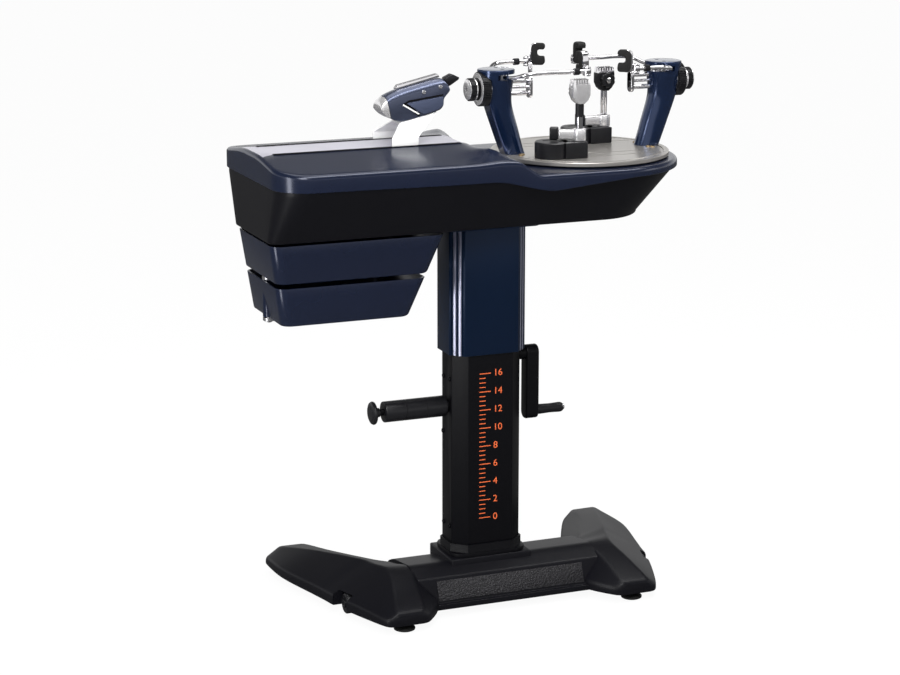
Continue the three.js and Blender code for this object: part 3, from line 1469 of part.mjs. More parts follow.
function buildTray(level) {
  const top = -trayTop - level * (trayHeight + trayGap);
  const bottom = top - trayHeight;
  const boss = rod(pivotBossRadius, bottom, top, 'z', roundSides).translate(-pivotX, 0, 0);
  const pivotHole = bore(pivotRadius, bottom, top).translate(-pivotX, 0, 0);
  const shell = cut(loft(trayRings(level, 0, 0)), loft(trayRings(level, trayWall, overrun)));
  return cut(join(shell, boss), pivotHole);
}

function buildTrayPivot() {
  const top = -housingDepth - gap;
  const end = -trayTop - 2 * trayHeight - trayGap;
  const between = -trayTop - trayHeight;
  return turned([
    [pivotRadius * 0.7, end - gap - pivotNutHeight - pivotTipHeight], [pivotRadius, end - gap - pivotNutHeight],
    [pivotBossRadius, end - gap - pivotNutHeight], [pivotBossRadius, end - gap], [pivotRadius, end - gap],
    [pivotRadius, between - trayGap + gap], [pivotBossRadius, between - trayGap + gap],
    [pivotBossRadius, between - gap], [pivotRadius, between - gap], [pivotRadius, -trayTop + gap],
    [pivotFlangeRadius, -trayTop + gap], [pivotFlangeRadius, top],
  ], 'z', smallSides).translate(-pivotX, 0, 0);
}

piece('tray_upper', buildTray(0), navy, deck);
piece('tray_lower', buildTray(1), navy, deck);
piece('tray_pivot', buildTrayPivot(), steel, deck);

// The origin is the middle of the footprint, on the floor
const bounds = new THREE.Box3().setFromObject(machine);
const centre = bounds.getCenter(new THREE.Vector3());
machine.position.set(-centre.x, -centre.y, -bounds.min.z);
machine.updateMatrixWorld(true);

export default machine;
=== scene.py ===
# Racket stringing machine on a crank-raised stand: its looks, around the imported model.
# Each piece is modelled in millimetres, in the axes of what carries it, and then settled in metres.
from itertools import product
from math import cos, exp, log, pi, radians, sin, sqrt

import bpy
from mathutils import Matrix, Vector


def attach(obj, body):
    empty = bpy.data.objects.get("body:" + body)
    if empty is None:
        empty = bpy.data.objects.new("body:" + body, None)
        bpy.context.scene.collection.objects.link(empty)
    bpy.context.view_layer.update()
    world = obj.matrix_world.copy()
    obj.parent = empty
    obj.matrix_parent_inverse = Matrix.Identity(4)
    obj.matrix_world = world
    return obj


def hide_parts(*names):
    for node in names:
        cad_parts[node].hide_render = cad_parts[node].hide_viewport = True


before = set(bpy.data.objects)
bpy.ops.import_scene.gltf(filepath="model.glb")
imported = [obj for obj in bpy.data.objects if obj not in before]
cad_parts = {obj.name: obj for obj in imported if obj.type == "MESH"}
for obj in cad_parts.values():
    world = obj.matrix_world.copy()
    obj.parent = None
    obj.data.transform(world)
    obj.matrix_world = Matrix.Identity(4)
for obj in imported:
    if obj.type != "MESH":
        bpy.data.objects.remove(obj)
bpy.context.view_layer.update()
scene = bpy.context.scene

MILLI = Matrix.Scale(0.001, 4)
ALONG_X = Matrix.Rotation(pi / 2, 4, "Y")
SIDEWAYS = Matrix.Rotation(pi / 2, 4, "X")
CROSSWAYS = Matrix(((0, 0, 1, 0), (1, 0, 0, 0), (0, 1, 0, 0), (0, 0, 0, 1)))


def shift(x, y, z):
    return Matrix.Translation((x, y, z))


def at(x, y, z):
    """A shift in metres, given in millimetres."""
    return shift(x / 1000, y / 1000, z / 1000)


def about_z(degrees):
    return Matrix.Rotation(radians(degrees), 4, "Z")


# Where the column, the base, the turntable's top, the tilted head and the two posts stand.
COLUMN, BASE, DECK = at(11, -49, 0), at(40, -49, 0), at(238, -49, 970)
HEAD = DECK @ at(-383, 0, 123.4) @ Matrix.Rotation(radians(-12.5), 4, "Y")
ENDS = {"left": DECK, "right": DECK @ about_z(180)}

# Distances in millimetres under which vertices are merged, in general and after a cut.
MERGE, CUT_MERGE = 0.01, 0.003


# ---- Finishes ----

def fill(node, *inputs):
    """Fills a node's inputs with values, other nodes' outputs or the first output of other nodes."""
    for name, value in inputs:
        if isinstance(value, bpy.types.Node):
            value = value.outputs[0]
        if isinstance(value, bpy.types.NodeSocket):
            node.id_data.links.new(value, node.inputs[name])
        else:
            node.inputs[name].default_value = value
    return node


def linked(tree, kind, *inputs, **settings):
    """Adds a node, sets its properties and fills its inputs."""
    node = tree.nodes.new("ShaderNode" + kind)
    for name, value in settings.items():
        setattr(node, name, value)
    return fill(node, *inputs)


def tree_of(paint):
    """Turns on a material's or world's nodes and gives their tree."""
    paint.use_nodes = True
    return paint.node_tree


def finish(name, colour, roughness, metallic=0, shine=0.5, coat=0, grain=500, relief=0.05, height=0.0002,
           mottle=0.1, drift=0.06, stretch=(1, 1, 1), cells=False):
    """A surface with fine grain in its relief and gloss and slow drift in its tone, or a pebbled skin of cells."""
    paint = bpy.data.materials.new(name)
    tree = tree_of(paint)
    place = linked(tree, "TexCoord").outputs["Object"]
    pattern = ("Vector", linked(tree, "Mapping", ("Vector", place), ("Scale", stretch)))
    if cells:
        fine = linked(tree, "TexVoronoi", pattern, ("Scale", grain))
    else:
        fine = linked(tree, "TexNoise", pattern, ("Scale", grain), ("Detail", 3))
    slow = linked(tree, "TexNoise", pattern, ("Scale", 9), ("Detail", 2))
    dark, light = ([min(1, c * share) for c in colour] + [1] for share in (1 - mottle, 1 + mottle))
    tone = linked(tree, "Mix", (0, fine if cells else slow), (6, dark), (7, light), data_type="RGBA")
    gloss = linked(tree, "MapRange", ("Value", fine), ("To Min", max(0.02, roughness - drift)),
                   ("To Max", roughness + drift))
    bump = linked(tree, "Bump", ("Strength", relief), ("Distance", height), ("Height", fine))
    fill(tree.nodes["Principled BSDF"], ("Metallic", metallic), ("Specular IOR Level", shine),
         ("Coat Weight", coat), ("Coat Roughness", 0.12), ("Base Color", tone.outputs[2]), ("Roughness", gloss),
         ("Normal", bump))
    return paint


navy = finish("navy metallic lacquer", (0.007, 0.011, 0.028), 0.24, 0.3, 0.4, coat=0.1, grain=900, drift=0.04)
# Painted reflection: pale lilac that stands for the bright ceiling mirrored in the cover's flat centre panel.
painted_reflection_lilac = finish("pale lilac lacquer as painted reflection", (0.5, 0.49, 0.56), 0.3, 0.6, grain=900)
post_blue = finish("blue metallic lacquer", (0.009, 0.023, 0.07), 0.2, 0.65, coat=0.5, grain=1200, drift=0.04)
sleeve_blue = finish("deep blue anodised sleeve", (0.002, 0.009, 0.028), 0.32, 0.4, 0.25, stretch=(1, 1, 0.04))
# Painted highlight: pale silvery lilac on the ribs between the flutes, for the light they catch.
painted_highlight_flute = finish("lilac flute rib with painted highlight", (0.36, 0.37, 0.48), 0.3, 0.9, stretch=(1, 1, 0.03))
shell_black = finish("black moulded shell", (0.003, 0.003, 0.0045), 0.36, 0, 0.16, grain=1400, relief=0.15)
tube_black = finish("black powder coat", (0.002, 0.002, 0.003), 0.4, 0, 0.14, grain=1100, relief=0.15)
casting = finish("charcoal casting paint", (0.0032, 0.0032, 0.005), 0.4, 0, 0.16, grain=1300, relief=0.2)
pebble = finish("pebbled charcoal panel", (0.013, 0.0125, 0.0145), 0.42, 0, 0.25, grain=260, relief=1,
                height=0.002, mottle=0.75, cells=True)
plastic = finish("black plastic", (0.006, 0.006, 0.0075), 0.36, 0, 0.3, grain=900, relief=0.1)
rubber = finish("black rubber", (0.01, 0.01, 0.01), 0.7, 0, 0.2, grain=700, relief=0.25)
plate_silver = finish("brushed plate", (0.44, 0.42, 0.395), 0.32, 0.8, grain=160, relief=0.12, stretch=(0.06, 1, 1))
chrome = finish("polished chrome", (0.78, 0.77, 0.79), 0.09, 1, grain=60, relief=0, mottle=0.03, drift=0.03)
steel = finish("turned steel", (0.5, 0.5, 0.52), 0.3, 0.95, grain=400, relief=0.1, stretch=(1, 0.1, 1))
satin_silver = finish("satin silver", (0.74, 0.73, 0.74), 0.26, 0.75, relief=0.02, mottle=0.04, drift=0.02)
brass = finish("yellow passivated screw", (0.36, 0.26, 0.14), 0.32, 0.95)
white_gloss = finish("white gloss paint", (0.88, 0.88, 0.87), 0.24, coat=0.2, relief=0.03, mottle=0.02)
lever_grey = finish("grey-blue satin paint", (0.065, 0.08, 0.135), 0.34, 0.4, 0.4, grain=900)
head_blue = finish("pale blue metallic lacquer", (0.066, 0.078, 0.125), 0.32, 0.75, coat=0.3, grain=1200, drift=0.03)
scale_orange = finish("orange print", (0.62, 0.11, 0.03), 0.5, 0, 0.2, grain=800, mottle=0.04)
# Painted shade: a dull near-black put where shade falls, in the slots' linings and in the head's groove.
painted_recess_shade = finish("painted recess shade", (0.003, 0.003, 0.004), 0.6, 0, 0.1)


# Slots with the finishes that most of their pieces have.
TUBE = ("black_tube", tube_black)
PLASTIC = ("black_plastic", plastic)
CHROME = ("chrome", chrome)
SATIN = ("chrome", satin_silver)
NAVY = ("navy_paint", navy)


# ---- Modelling steps ----

def placed(piece):
    """Puts a new object into the scene."""
    scene.collection.objects.link(piece)
    return piece


def unpick():
    bpy.ops.object.select_all(action="DESELECT")


def pick(piece):
    unpick()
    piece.select_set(True)
    bpy.context.view_layer.objects.active = piece


def begun(name):
    piece = bpy.context.object
    piece.name = piece.data.name = name
    return piece


def applied(piece, kind, **settings):
    """Adds a modifier and applies it at once."""
    modifier = piece.modifiers.new(kind.lower(), kind)
    for name, value in settings.items():
        setattr(modifier, name, value)
    pick(piece)
    bpy.ops.object.modifier_apply(modifier=modifier.name)
    return piece


def edited(piece):
    """Opens a piece in edit mode with all of it selected."""
    pick(piece)
    bpy.ops.object.mode_set(mode="EDIT")
    bpy.ops.mesh.select_all(action="SELECT")


def shut(piece):
    bpy.ops.object.mode_set(mode="OBJECT")
    return piece


def twin(piece, name):
    """A copy of a piece with its own mesh."""
    copy = placed(piece.copy())
    copy.data = piece.data.copy()
    copy.name = name
    return copy


def soften(piece, width, segments=3, angle=30):
    return applied(piece, "BEVEL", width=width, segments=segments, limit_method="ANGLE",
                   angle_limit=radians(angle))


def carve(piece, *tools):
    """Cuts the tools out of a piece and cleans the cut's edges."""
    for tool in tools:
        applied(piece, "BOOLEAN", operation="DIFFERENCE", object=tool, solver="EXACT")
        bpy.data.objects.remove(tool)
    edited(piece)
    bpy.ops.mesh.dissolve_degenerate(threshold=CUT_MERGE)
    bpy.ops.mesh.remove_doubles(threshold=CUT_MERGE)
    return shut(piece)


def tidied(piece, ends=False):
    """Merges doubles, fills open ends where asked, and turns all faces outwards."""
    edited(piece)
    bpy.ops.mesh.remove_doubles(threshold=MERGE)
    if ends:
        bpy.ops.mesh.fill_holes(sides=0)
    bpy.ops.mesh.normals_make_consistent(inside=False)
    return shut(piece)


def extrude(step):
    bpy.ops.mesh.extrude_region_move(TRANSFORM_OT_translate={"value": step})


def drawn(name, points):
    """An open line through the points, drawn by extruding one vertex; it is left in edit mode."""
    unpick()
    bpy.ops.mesh.primitive_plane_add(size=1)
    piece = begun(name)
    edited(piece)
    bpy.ops.mesh.merge(type="CENTER")
    here = Vector(points[0])
    bpy.ops.transform.translate(value=here)
    for point in points[1:]:
        extrude(Vector(point) - here)
        here = Vector(point)
    return piece


def lathed(name, profile, steps=72):
    """A turned piece about Z: its half outline of [radius, height] is drawn and spun."""
    line = [(r, 0, z) for r, z in profile]
    if profile[0] != profile[-1]:
        line = [(0, 0, profile[0][1]), *line, (0, 0, profile[-1][1])]
    piece = drawn(name, line)
    bpy.ops.mesh.select_all(action="SELECT")
    bpy.ops.mesh.spin(steps=steps, angle=2 * pi, center=(0, 0, 0), axis=(0, 0, 1))
    return tidied(shut(piece))


def slab(name, outline, low, high):
    """A flat outline raised from one height to another."""
    piece = drawn(name, [(x, y, low) for x, y in [*outline, outline[0]]])
    bpy.ops.mesh.select_all(action="SELECT")
    bpy.ops.mesh.remove_doubles(threshold=0.001)
    bpy.ops.mesh.edge_face_add()
    extrude((0, 0, high - low))
    return tidied(shut(piece))


def centred(name):
    """Names a new piece and moves its origin to the middle of the world."""
    bpy.ops.object.transform_apply(location=True, rotation=True, scale=True)
    return begun(name)


def block(name, x, y, z):
    unpick()
    middle = [(a + b) / 2 for a, b in (x, y, z)]
    bpy.ops.mesh.primitive_cube_add(size=1, location=middle, scale=[b - a for a, b in (x, y, z)])
    return centred(name)


def rod(name, radius, low, high, sides=40):
    unpick()
    bpy.ops.mesh.primitive_cylinder_add(vertices=sides, radius=radius, depth=high - low,
                                        location=(0, 0, (low + high) / 2))
    return centred(name)


def skin(name, rings, ends=True):
    """A surface through rings of equal count: a grid is rolled up, and its ends are filled."""
    count = len(rings[0])
    unpick()
    bpy.ops.mesh.primitive_grid_add(x_subdivisions=count, y_subdivisions=len(rings) - 1, size=1)
    piece = begun(name)
    places = [ring[i % count] for ring in rings for i in range(count + 1)]
    piece.data.vertices.foreach_set("co", [c for place in places for c in place])
    return tidied(piece, ends)


def turn(piece, matrix):
    piece.data.transform(matrix)
    return piece


def moved(piece, x, y, z):
    return turn(piece, shift(x, y, z))


def side_slab(name, outline, low, high):
    """A slab whose outline is drawn in X and Z."""
    return turn(slab(name, outline, low, high), SIDEWAYS)


def cross_slab(name, outline, low, high):
    """A slab whose outline is drawn in Y and Z."""
    return turn(slab(name, outline, low, high), CROSSWAYS)


def joined(name, *pieces):
    """Several closed meshes as one object."""
    pick(pieces[0])
    for piece in pieces:
        piece.select_set(True)
    bpy.ops.object.join()
    return begun(name)


def painted(piece, paint):
    piece.data.materials.clear()
    piece.data.materials.append(paint)


def settle(piece, place, body, slot, paint, *nodes, angle=32):
    """Puts a piece in its place in metres, smooths it, and says what it rides on and stands for."""
    piece.data.transform(place @ MILLI)
    pick(piece)
    bpy.ops.object.shade_smooth_by_angle(angle=radians(angle))
    painted(piece, paint)
    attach(piece, body)
    if nodes:
        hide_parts(*nodes)


def dressed(node, width, body, slot, paint, segments=3):
    """A CAD node's copy with whole flat faces and rounded edges, in place of the node."""
    piece = twin(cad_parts[node], node + "_finished")
    for key in list(piece.keys()):
        if key.startswith("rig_"):
            del piece[key]
    piece.parent = None
    edited(turn(piece, Matrix.Scale(1000, 4)))
    bpy.ops.mesh.remove_doubles(threshold=MERGE)
    bpy.ops.mesh.dissolve_limited(angle_limit=radians(0.6))
    soften(shut(piece), width, segments)
    settle(piece, Matrix.Identity(4), body, slot, paint, node)


def mix(a, b, t):
    return a + (b - a) * t


def smooth(start, end, value):
    t = min(1, max(0, (value - start) / (end - start)))
    return t * t * (3 - 2 * t)


def eased(rows, steps=5):
    """More rows between the given ones, on a smooth curve through each column."""
    out = []
    last = len(rows) - 1
    for i in range(last):
        before, start, end, after = rows[max(i - 1, 0)], rows[i], rows[i + 1], rows[min(i + 2, last)]
        for k in range(steps):
            t = k / steps
            out.append([b + 0.5 * t * ((c - a) + t * ((2 * a - 5 * b + 4 * c - d) + t * (3 * b - a - 3 * c + d)))
                        for a, b, c, d in zip(before, start, end, after)])
    return [*out, list(rows[last])]


def cornered(points, radii, steps=4):
    """A closed outline with each corner rounded by its radius."""
    out = []
    for i, (corner, radius) in enumerate(zip(points, radii)):
        here = Vector(corner)
        back = Vector(points[i - 1]) - here
        ahead = Vector(points[(i + 1) % len(points)]) - here
        reach = min(radius, back.length * 0.45, ahead.length * 0.45)
        start, end = here + back.normalized() * reach, here + ahead.normalized() * reach
        for k in range(steps + 1):
            t = k / steps
            out.append(start * (1 - t) ** 2 + here * 2 * t * (1 - t) + end * t * t)
    return out


def rounded(half_x, half_y, corner, steps=8):
    points = []
    for quarter, (sx, sy) in enumerate(((1, 1), (-1, 1), (-1, -1), (1, -1))):
        for k in range(steps + 1):
            angle = (quarter + k / steps) * pi / 2
            points.append((sx * (half_x - corner) + corner * cos(angle),
                           sy * (half_y - corner) + corner * sin(angle)))
    return points


def chamfered(length, width, cut):
    x, y = length / 2, width / 2
    return [(x, -y + cut), (x, y - cut), (x - cut, y), (-x + cut, y), (-x, y - cut), (-x, -y + cut),
            (-x + cut, -y), (x - cut, -y)]


# ---- Base ----

HALF_SPAN, REAR, FRONT, CASTING_LOW, CASTING_HIGH = 424, 312, 182, 18, 100
FEET = ((265, -152), (365.064, 286))
SIDES, ROWS = (("left", -1), ("right", 1)), (("front", -1), ("rear", 1))
BOSS_RADIUS, WALL = 15, 9
WHEEL_Y, WHEEL_Z, WHEEL_SPACE = -28, 27, 24
# A leg's rows from front to rear: place, then outer edge, ridges and inner edge as shares of the half span,
# and outer top, inner top and wall as shares of the casting's height.
LEG = [
    [-1, 0.705, 0.689, 0.552, 0.542, 0.4, 0.4, 0.3], [-0.94, 0.743, 0.684, 0.538, 0.498, 0.5, 0.5, 0.34],
    [-0.62, 0.797, 0.646, 0.519, 0.408, 0.77, 0.77, 0.4], [-0.25, 0.851, 0.62, 0.498, 0.403, 0.97, 0.97, 0.42],
    [0.06, 0.892, 0.663, 0.524, 0.425, 0.97, 0.87, 0.42], [0.24, 0.922, 0.712, 0.585, 0.474, 0.94, 0.8, 0.42],
    [0.64, 0.99, 0.828, 0.717, 0.604, 0.78, 0.69, 0.4], [0.96, 1, 0.917, 0.781, 0.722, 0.58, 0.57, 0.34],
    [1, 0.985, 0.903, 0.797, 0.757, 0.52, 0.5, 0.3],
]
WHEEL_X = LEG[3][1] * HALF_SPAN - 14


def leg(name, side, inset=0):
    """One splayed leg, or with an inset the hollow under it."""
    rings = []
    for place, outer, ridge_outer, ridge_inner, inner, outer_top, inner_top, wall in eased(LEG):
        y = place * ((FRONT if place < 0 else REAR) - inset)
        xs = [side * (share * HALF_SPAN + inset * way)
              for share, way in ((inner, 1), (outer, -1), (outer, -1), (ridge_outer, -0.6), (ridge_inner, 0.6),
                                 (inner, 1))]
        low = CASTING_LOW - inset
        zs = [low, low, *(share * CASTING_HIGH - inset * way
                          for share, way in ((wall, 0.7), (outer_top, 1), (inner_top, 1), (wall, 0.7)))]
        ring = cornered(list(zip(xs, zs)), (3, 3, 7, 6, 6, 8))
        rings.append([(x, y, z) for x, z in ring])
    piece = skin(name, rings)
    return piece if inset else soften(piece, 5, 4, 40)


def make_base():
    legs = []
    for word, side in SIDES:
        piece = leg("base_leg_" + word, side)
        edge, far = side * (WHEEL_X - 9.5), side * (WHEEL_X + 27)
        front, rear, top = WHEEL_Y - WHEEL_SPACE, WHEEL_Y + WHEEL_SPACE, WHEEL_Z + WHEEL_SPACE
        pocket = soften(block("pocket", sorted((edge, far)), (front, rear), (-10, top)), 3)
        around = block("around", sorted((edge - side * WALL, far)), (front - WALL, rear + WALL), (0, top + WALL))
        bosses = [moved(rod("boss", BOSS_RADIUS, 0, 90), side * x, y, 0) for x, y in FEET]
        legs.append(carve(piece, carve(leg("leg_hollow", side, WALL), around, *bosses), pocket))
    bar_outline = cornered([(-122, 18), (-122, 30), (-113, 30), (-92, 80), (-50, 100), (50, 86), (84, 70), (84, 18)],
                           (1, 2, 1.5, 5, 16, 16, 8, 2), 5)
    bar = cross_slab("base_bar", bar_outline, -214, 214)
    hollow = cross_slab("bar_hollow", [(-104, 8), (-104, 28), (-84, 72), (-48, 90), (47, 77), (75, 64), (75, 8)],
                        -205, 205)
    webs = [block("web", (x, x + 9), (-150, 150), (0, 110)) for x in (-122, 55)]
    carve(bar, carve(hollow, *webs))
    seat = soften(block("base_seat", (-122, 64), (-66, 66), (60, 106)), 3)
    for piece, *nodes in ((legs[0], "base_casting"), (legs[1],), (bar,), (seat,)):
        settle(piece, BASE, "stand", "charcoal_casting", casting, *nodes)
    out = Vector((-50, 21)).normalized()
    foot, head = Vector((-111.2, 34.5)), Vector((-94.6, 74))
    panel = cross_slab("pebbled_panel", [foot, foot + out * 1.4, head + out * 1.4, head], -170, 170)
    settle(soften(panel, 0.5, 2), BASE, "stand", "charcoal_casting", pebble)
    profile = [(20, 0), (22.4, 1.2), (23, 3), (22.6, 5), (19, 7.6), (12, 8.6), (6, 9), (6, 12.7), (10.6, 12.7),
               (11, 13.2), (11, 17.2), (10.6, 17.7), (6, 17.7), (6, 34)]
    for (row, (x, y)), (word, side) in product(zip(("front_", "rear_"), FEET), SIDES):
        name = "foot_" + row + word
        settle(lathed(name, profile, 48), BASE @ at(side * x, y, 0), name, "rubber", rubber, "levelling_" + name)
    tyre = [(9, 7.5), (13, 7), (18.4, 7.8), (19.6, 7.4), (21.6, 5.4), (22, 4)]
    profile = [(4, -21), (4, -9.3), (8.6, -9.3), (9, -8.8), *[(r, -z) for r, z in tyre], *reversed(tyre), (9, 10),
               (8.2, 10.5), (3, 10.5), (3, 9.6), (2.6, 9.6)]
    for word, side in SIDES:
        place = BASE @ at(side * WHEEL_X, WHEEL_Y, WHEEL_Z) @ about_z(0 if side > 0 else 180) @ ALONG_X
        body = "transport_wheel_" + word
        settle(lathed("castor_" + word, profile, 64), place, body, *PLASTIC, body)


# ---- Column, crank and reel holder ----

def make_column():
    dressed("column_collar", 1.6, "stand", *TUBE)
    dressed("lower_column", 2.2, "stand", *TUBE)
    make_sleeve()
    make_height_scale()
    screws = []
    for z, y in ((168, -17), (168, 17), (372, 20), (495, -17), (495, 17)):
        head = hex_screw("tube_screw", 5.2, 2.6)
        screws.append(turn(head, shift(-79.2, y, z) @ about_z(180) @ ALONG_X))
    settle(joined("tube_screws", *screws), COLUMN, "stand", *TUBE)


def hex_screw(name, radius, height):
    """A cap screw's head standing on z 0, with its hexagon hole."""
    head = lathed(name, [(radius, 0), (radius, height * 0.7), (radius * 0.82, height)], 32)
    return carve(head, rod("hexagon", radius * 0.45, height * 0.4, height + 2, 6))


def make_sleeve():
    """An octagonal sleeve whose four short sides have three flutes each, with ribs between them."""
    x, y, c = 87, 60, 26
    ring = [Vector(p) for p in chamfered(2 * x, 2 * y, c)]
    outline = []
    for k in (1, 3, 5, 7):
        start, end = ring[k], ring[(k + 1) % 8]
        inward = -(start + end).normalized()
        outline.append(start)
        for g in range(3):
            middle, half = (g + 0.5) / 3, 0.053
            for share, deep in ((-1, 0), (-0.7, 1), (0.7, 1), (1, 0)):
                outline.append(start.lerp(end, middle + half * share) + inward * 2.4 * deep)
        outline.append(end)
    tube = slab("sleeve", outline, 552, 824.9)
    hollow = slab("sleeve_bore", chamfered(159, 111, 28), 540, 830)
    soften(carve(tube, hollow), 0.7, 2, 25)
    settle(tube, COLUMN, "lift", "post_blue", sleeve_blue, "upper_column")
    plate = soften(slab("head_plate", rounded(105, 75, 14), 824.7, 836.7), 1.5)
    settle(plate, COLUMN, "lift", "post_blue", sleeve_blue)
    for (row, sy), (word, sx) in product(ROWS, SIDES):
        start, end = Vector((sx * x, sy * (y - c))), Vector((sx * (x - c), sy * y))
        outward = (start + end).normalized()
        ribs = []
        for low, high in ((0.245, 0.425), (0.575, 0.755)):
            a, b = start.lerp(end, low), start.lerp(end, high)
            line = [a.lerp(b, t) + outward * rise for t, rise in (
                (0, -0.6), (0, 0.15), (0.25, 0.45), (0.75, 0.45), (1, 0.15), (1, -0.6))]
            ribs.append(slab("rib", line, 552.6, 824))
        # The ribs take the pale silvery lilac: a painted highlight.
        settle(joined("flutes_" + row + "_" + word, *ribs), COLUMN, "lift", "post_blue", painted_highlight_flute)


def make_height_scale():
    """A printed height scale: ticks each centimetre and plain numbers."""
    start, marks = 190, []
    for k in range(33):
        z = start + k * 10
        reach = 26 if k % 4 == 0 else 14
        marks.append(block("tick", (-26, -26 + reach), (-55.25, -54.9), (z - 0.9, z + 0.9)))
    for k in range(9):
        unpick()
        bpy.ops.object.text_add()
        text = bpy.context.object.data
        text.body, text.size, text.extrude = str(k * 2), 21, 0.1
        text.align_x, text.align_y = "LEFT", "CENTER"
        pick(bpy.context.object)
        bpy.ops.object.convert(target="MESH")
        marks.append(turn(bpy.context.object, shift(6, -55.15, start + k * 40) @ SIDEWAYS))
    settle(joined("height_scale", *marks), COLUMN, "stand", "black_tube", scale_orange)


def make_crank():
    reach, face = 130, 130
    centre = COLUMN @ at(0, 0, 533)
    axis, pin_axis = centre @ ALONG_X, centre @ at(0, 0, -reach) @ ALONG_X
    arm = slab("crank_lever", rounded(17, reach / 2 + 17, 15.5, 10), 101, face)
    soften(turn(arm, shift(0, 0, -reach / 2) @ CROSSWAYS), 3.4, 4)
    settle(arm, centre, "crank", *TUBE, "crank_arm")
    hub = lathed("crank_hub", [(15.5, 79.3), (15.5, 83), (14, 84), (14, 101.5)], 48)
    settle(hub, axis, "crank", *TUBE)
    for name, profile, steps, line, paint in (
            ("crank_cap", [(9, -0.2), (9, 1.4), (7.6, 2.6), (3.6, 2.6), (3.6, 1), (3.4, 1)], 40, axis, chrome),
            ("grip_pin", [(5, -2), (5, 62.2), (7, 62.2), (7, 64.4), (5.6, 66)], 32, pin_axis, steel)):
        piece = lathed(name, [(r, face + along) for r, along in profile], steps)
        settle(piece, line, "crank", "black_tube", paint)
    profile = [(8.2, 0.4), (9.6, 1), (10.6, 4), (11, 8), (10.6, 19), (10.1, 31), (10.5, 43), (11, 53), (10.4, 59),
               (9, 61.4), (7.4, 61.9)]
    grip = lathed("crank_handle", [(r, face + along) for r, along in profile], 56)
    carve(grip, rod("grip_bore", 5.4, 100, 220, 32))
    settle(grip, pin_axis, "crank_grip", *PLASTIC, "crank_grip")


def make_reel_holder():
    place = COLUMN @ at(0, 0, 433) @ ALONG_X
    bar = lathed("reel_bar", [(6.6, -243), (7.5, -242), (7.5, -84.3), (13.4, -84.3), (14, -83.6), (14, -79.3),
                              (7.5, -79.3), (7.5, -72)], 48)
    settle(bar, place, "stand", "steel", tube_black, "reel_rod")
    profile = [(7.9, -224.4), (20.6, -224.4), (22, -223.8), (22.5, -222.4)]
    for seam in (-178, -131.3):
        profile += [(22.5, seam - 1.2), (21.6, seam - 0.8), (21.6, seam + 0.8), (22.5, seam + 1.2)]
    profile += [(22.5, -86.8), (22, -85.3), (20.6, -84.7), (7.9, -84.7), (7.9, -224.4)]
    settle(lathed("reel_drum", profile, 64), place, "reel_spool", *PLASTIC, "reel_spool")
    profile = [(13, -254.3), (19, -253.6), (23.2, -251.4), (25, -248.2), (24.6, -245.6), (23.2, -244), (15, -243.5),
               (11.2, -242), (10, -239.5), (10, -234), (7.9, -234), (7.9, -243.2)]
    settle(lathed("reel_stop", profile, 64), place, "reel_end_knob", *PLASTIC, "reel_end_knob")


# ---- Housing ----

LEFT_END, HALF_WIDTH, TIP, CORNER = 738, 214, 206, 72
PANEL, SLOT, FALL, RIM, ROUND, COVER_WALL = 38, 55, 21, 12, 9, 4
SLOT_X = (-700, -300)
TRAY_TOP, TRAY_AXIS = -139, -700


def plan(inset=0, left=LEFT_END, half=HALF_WIDTH, tip=TIP, corner=CORNER):
    """The housing's outline in plan, from the middle of the left end along the front to the tip and back."""
    left, half, tip, corner = left - inset, half - inset, tip - inset, max(corner - inset, 2)
    front = [(-left, -(half - corner) * k / 4) for k in range(4)]
    for k in range(13):
        angle = k / 12 * pi / 2
        front.append((-left + corner * (1 - cos(angle)), -half + corner * (1 - sin(angle))))
    for start, end, steps in ((-LEFT_END + CORNER, -330, 12), (-330, -150, 30), (-150, 0, 10)):
        front += [(mix(start, end, k / steps), -half) for k in range(1, steps + 1)]
    front += [(tip * sin(a), -half * cos(a)) for a in (k / 28 * pi / 2 for k in range(1, 29))]
    back = [(x, -y) for x, y in reversed(front[1:-1])]
    return front + back


def cover_height(x, y):
    across = abs(y)
    fall = FALL * min(1, max(0, (across - SLOT) / (HALF_WIDTH - SLOT)))
    shoulder = 11 * exp(-((x + 268) / 38) ** 2 - ((across - 150) / 52) ** 2)
    bend = (across / HALF_WIDTH) ** 2
    ramp = smooth(-300 + 65 * bend, -205 + 30 * bend, x)
    return mix(PANEL - fall + shoulder, -RIM, ramp)


def skirt_height(x):
    if x < -290:
        return -17 - 4 * smooth(-LEFT_END, -290, x)
    if x < -148:
        return mix(-21, -46, smooth(-290, -148, x))
    return mix(-46, -30, min(1, max(0, (x + 148) / 178)))


def draped(points, drop):
    """Points in plan, laid under the cover's top."""
    return [(x, y, cover_height(x, y) - drop) for x, y in points]


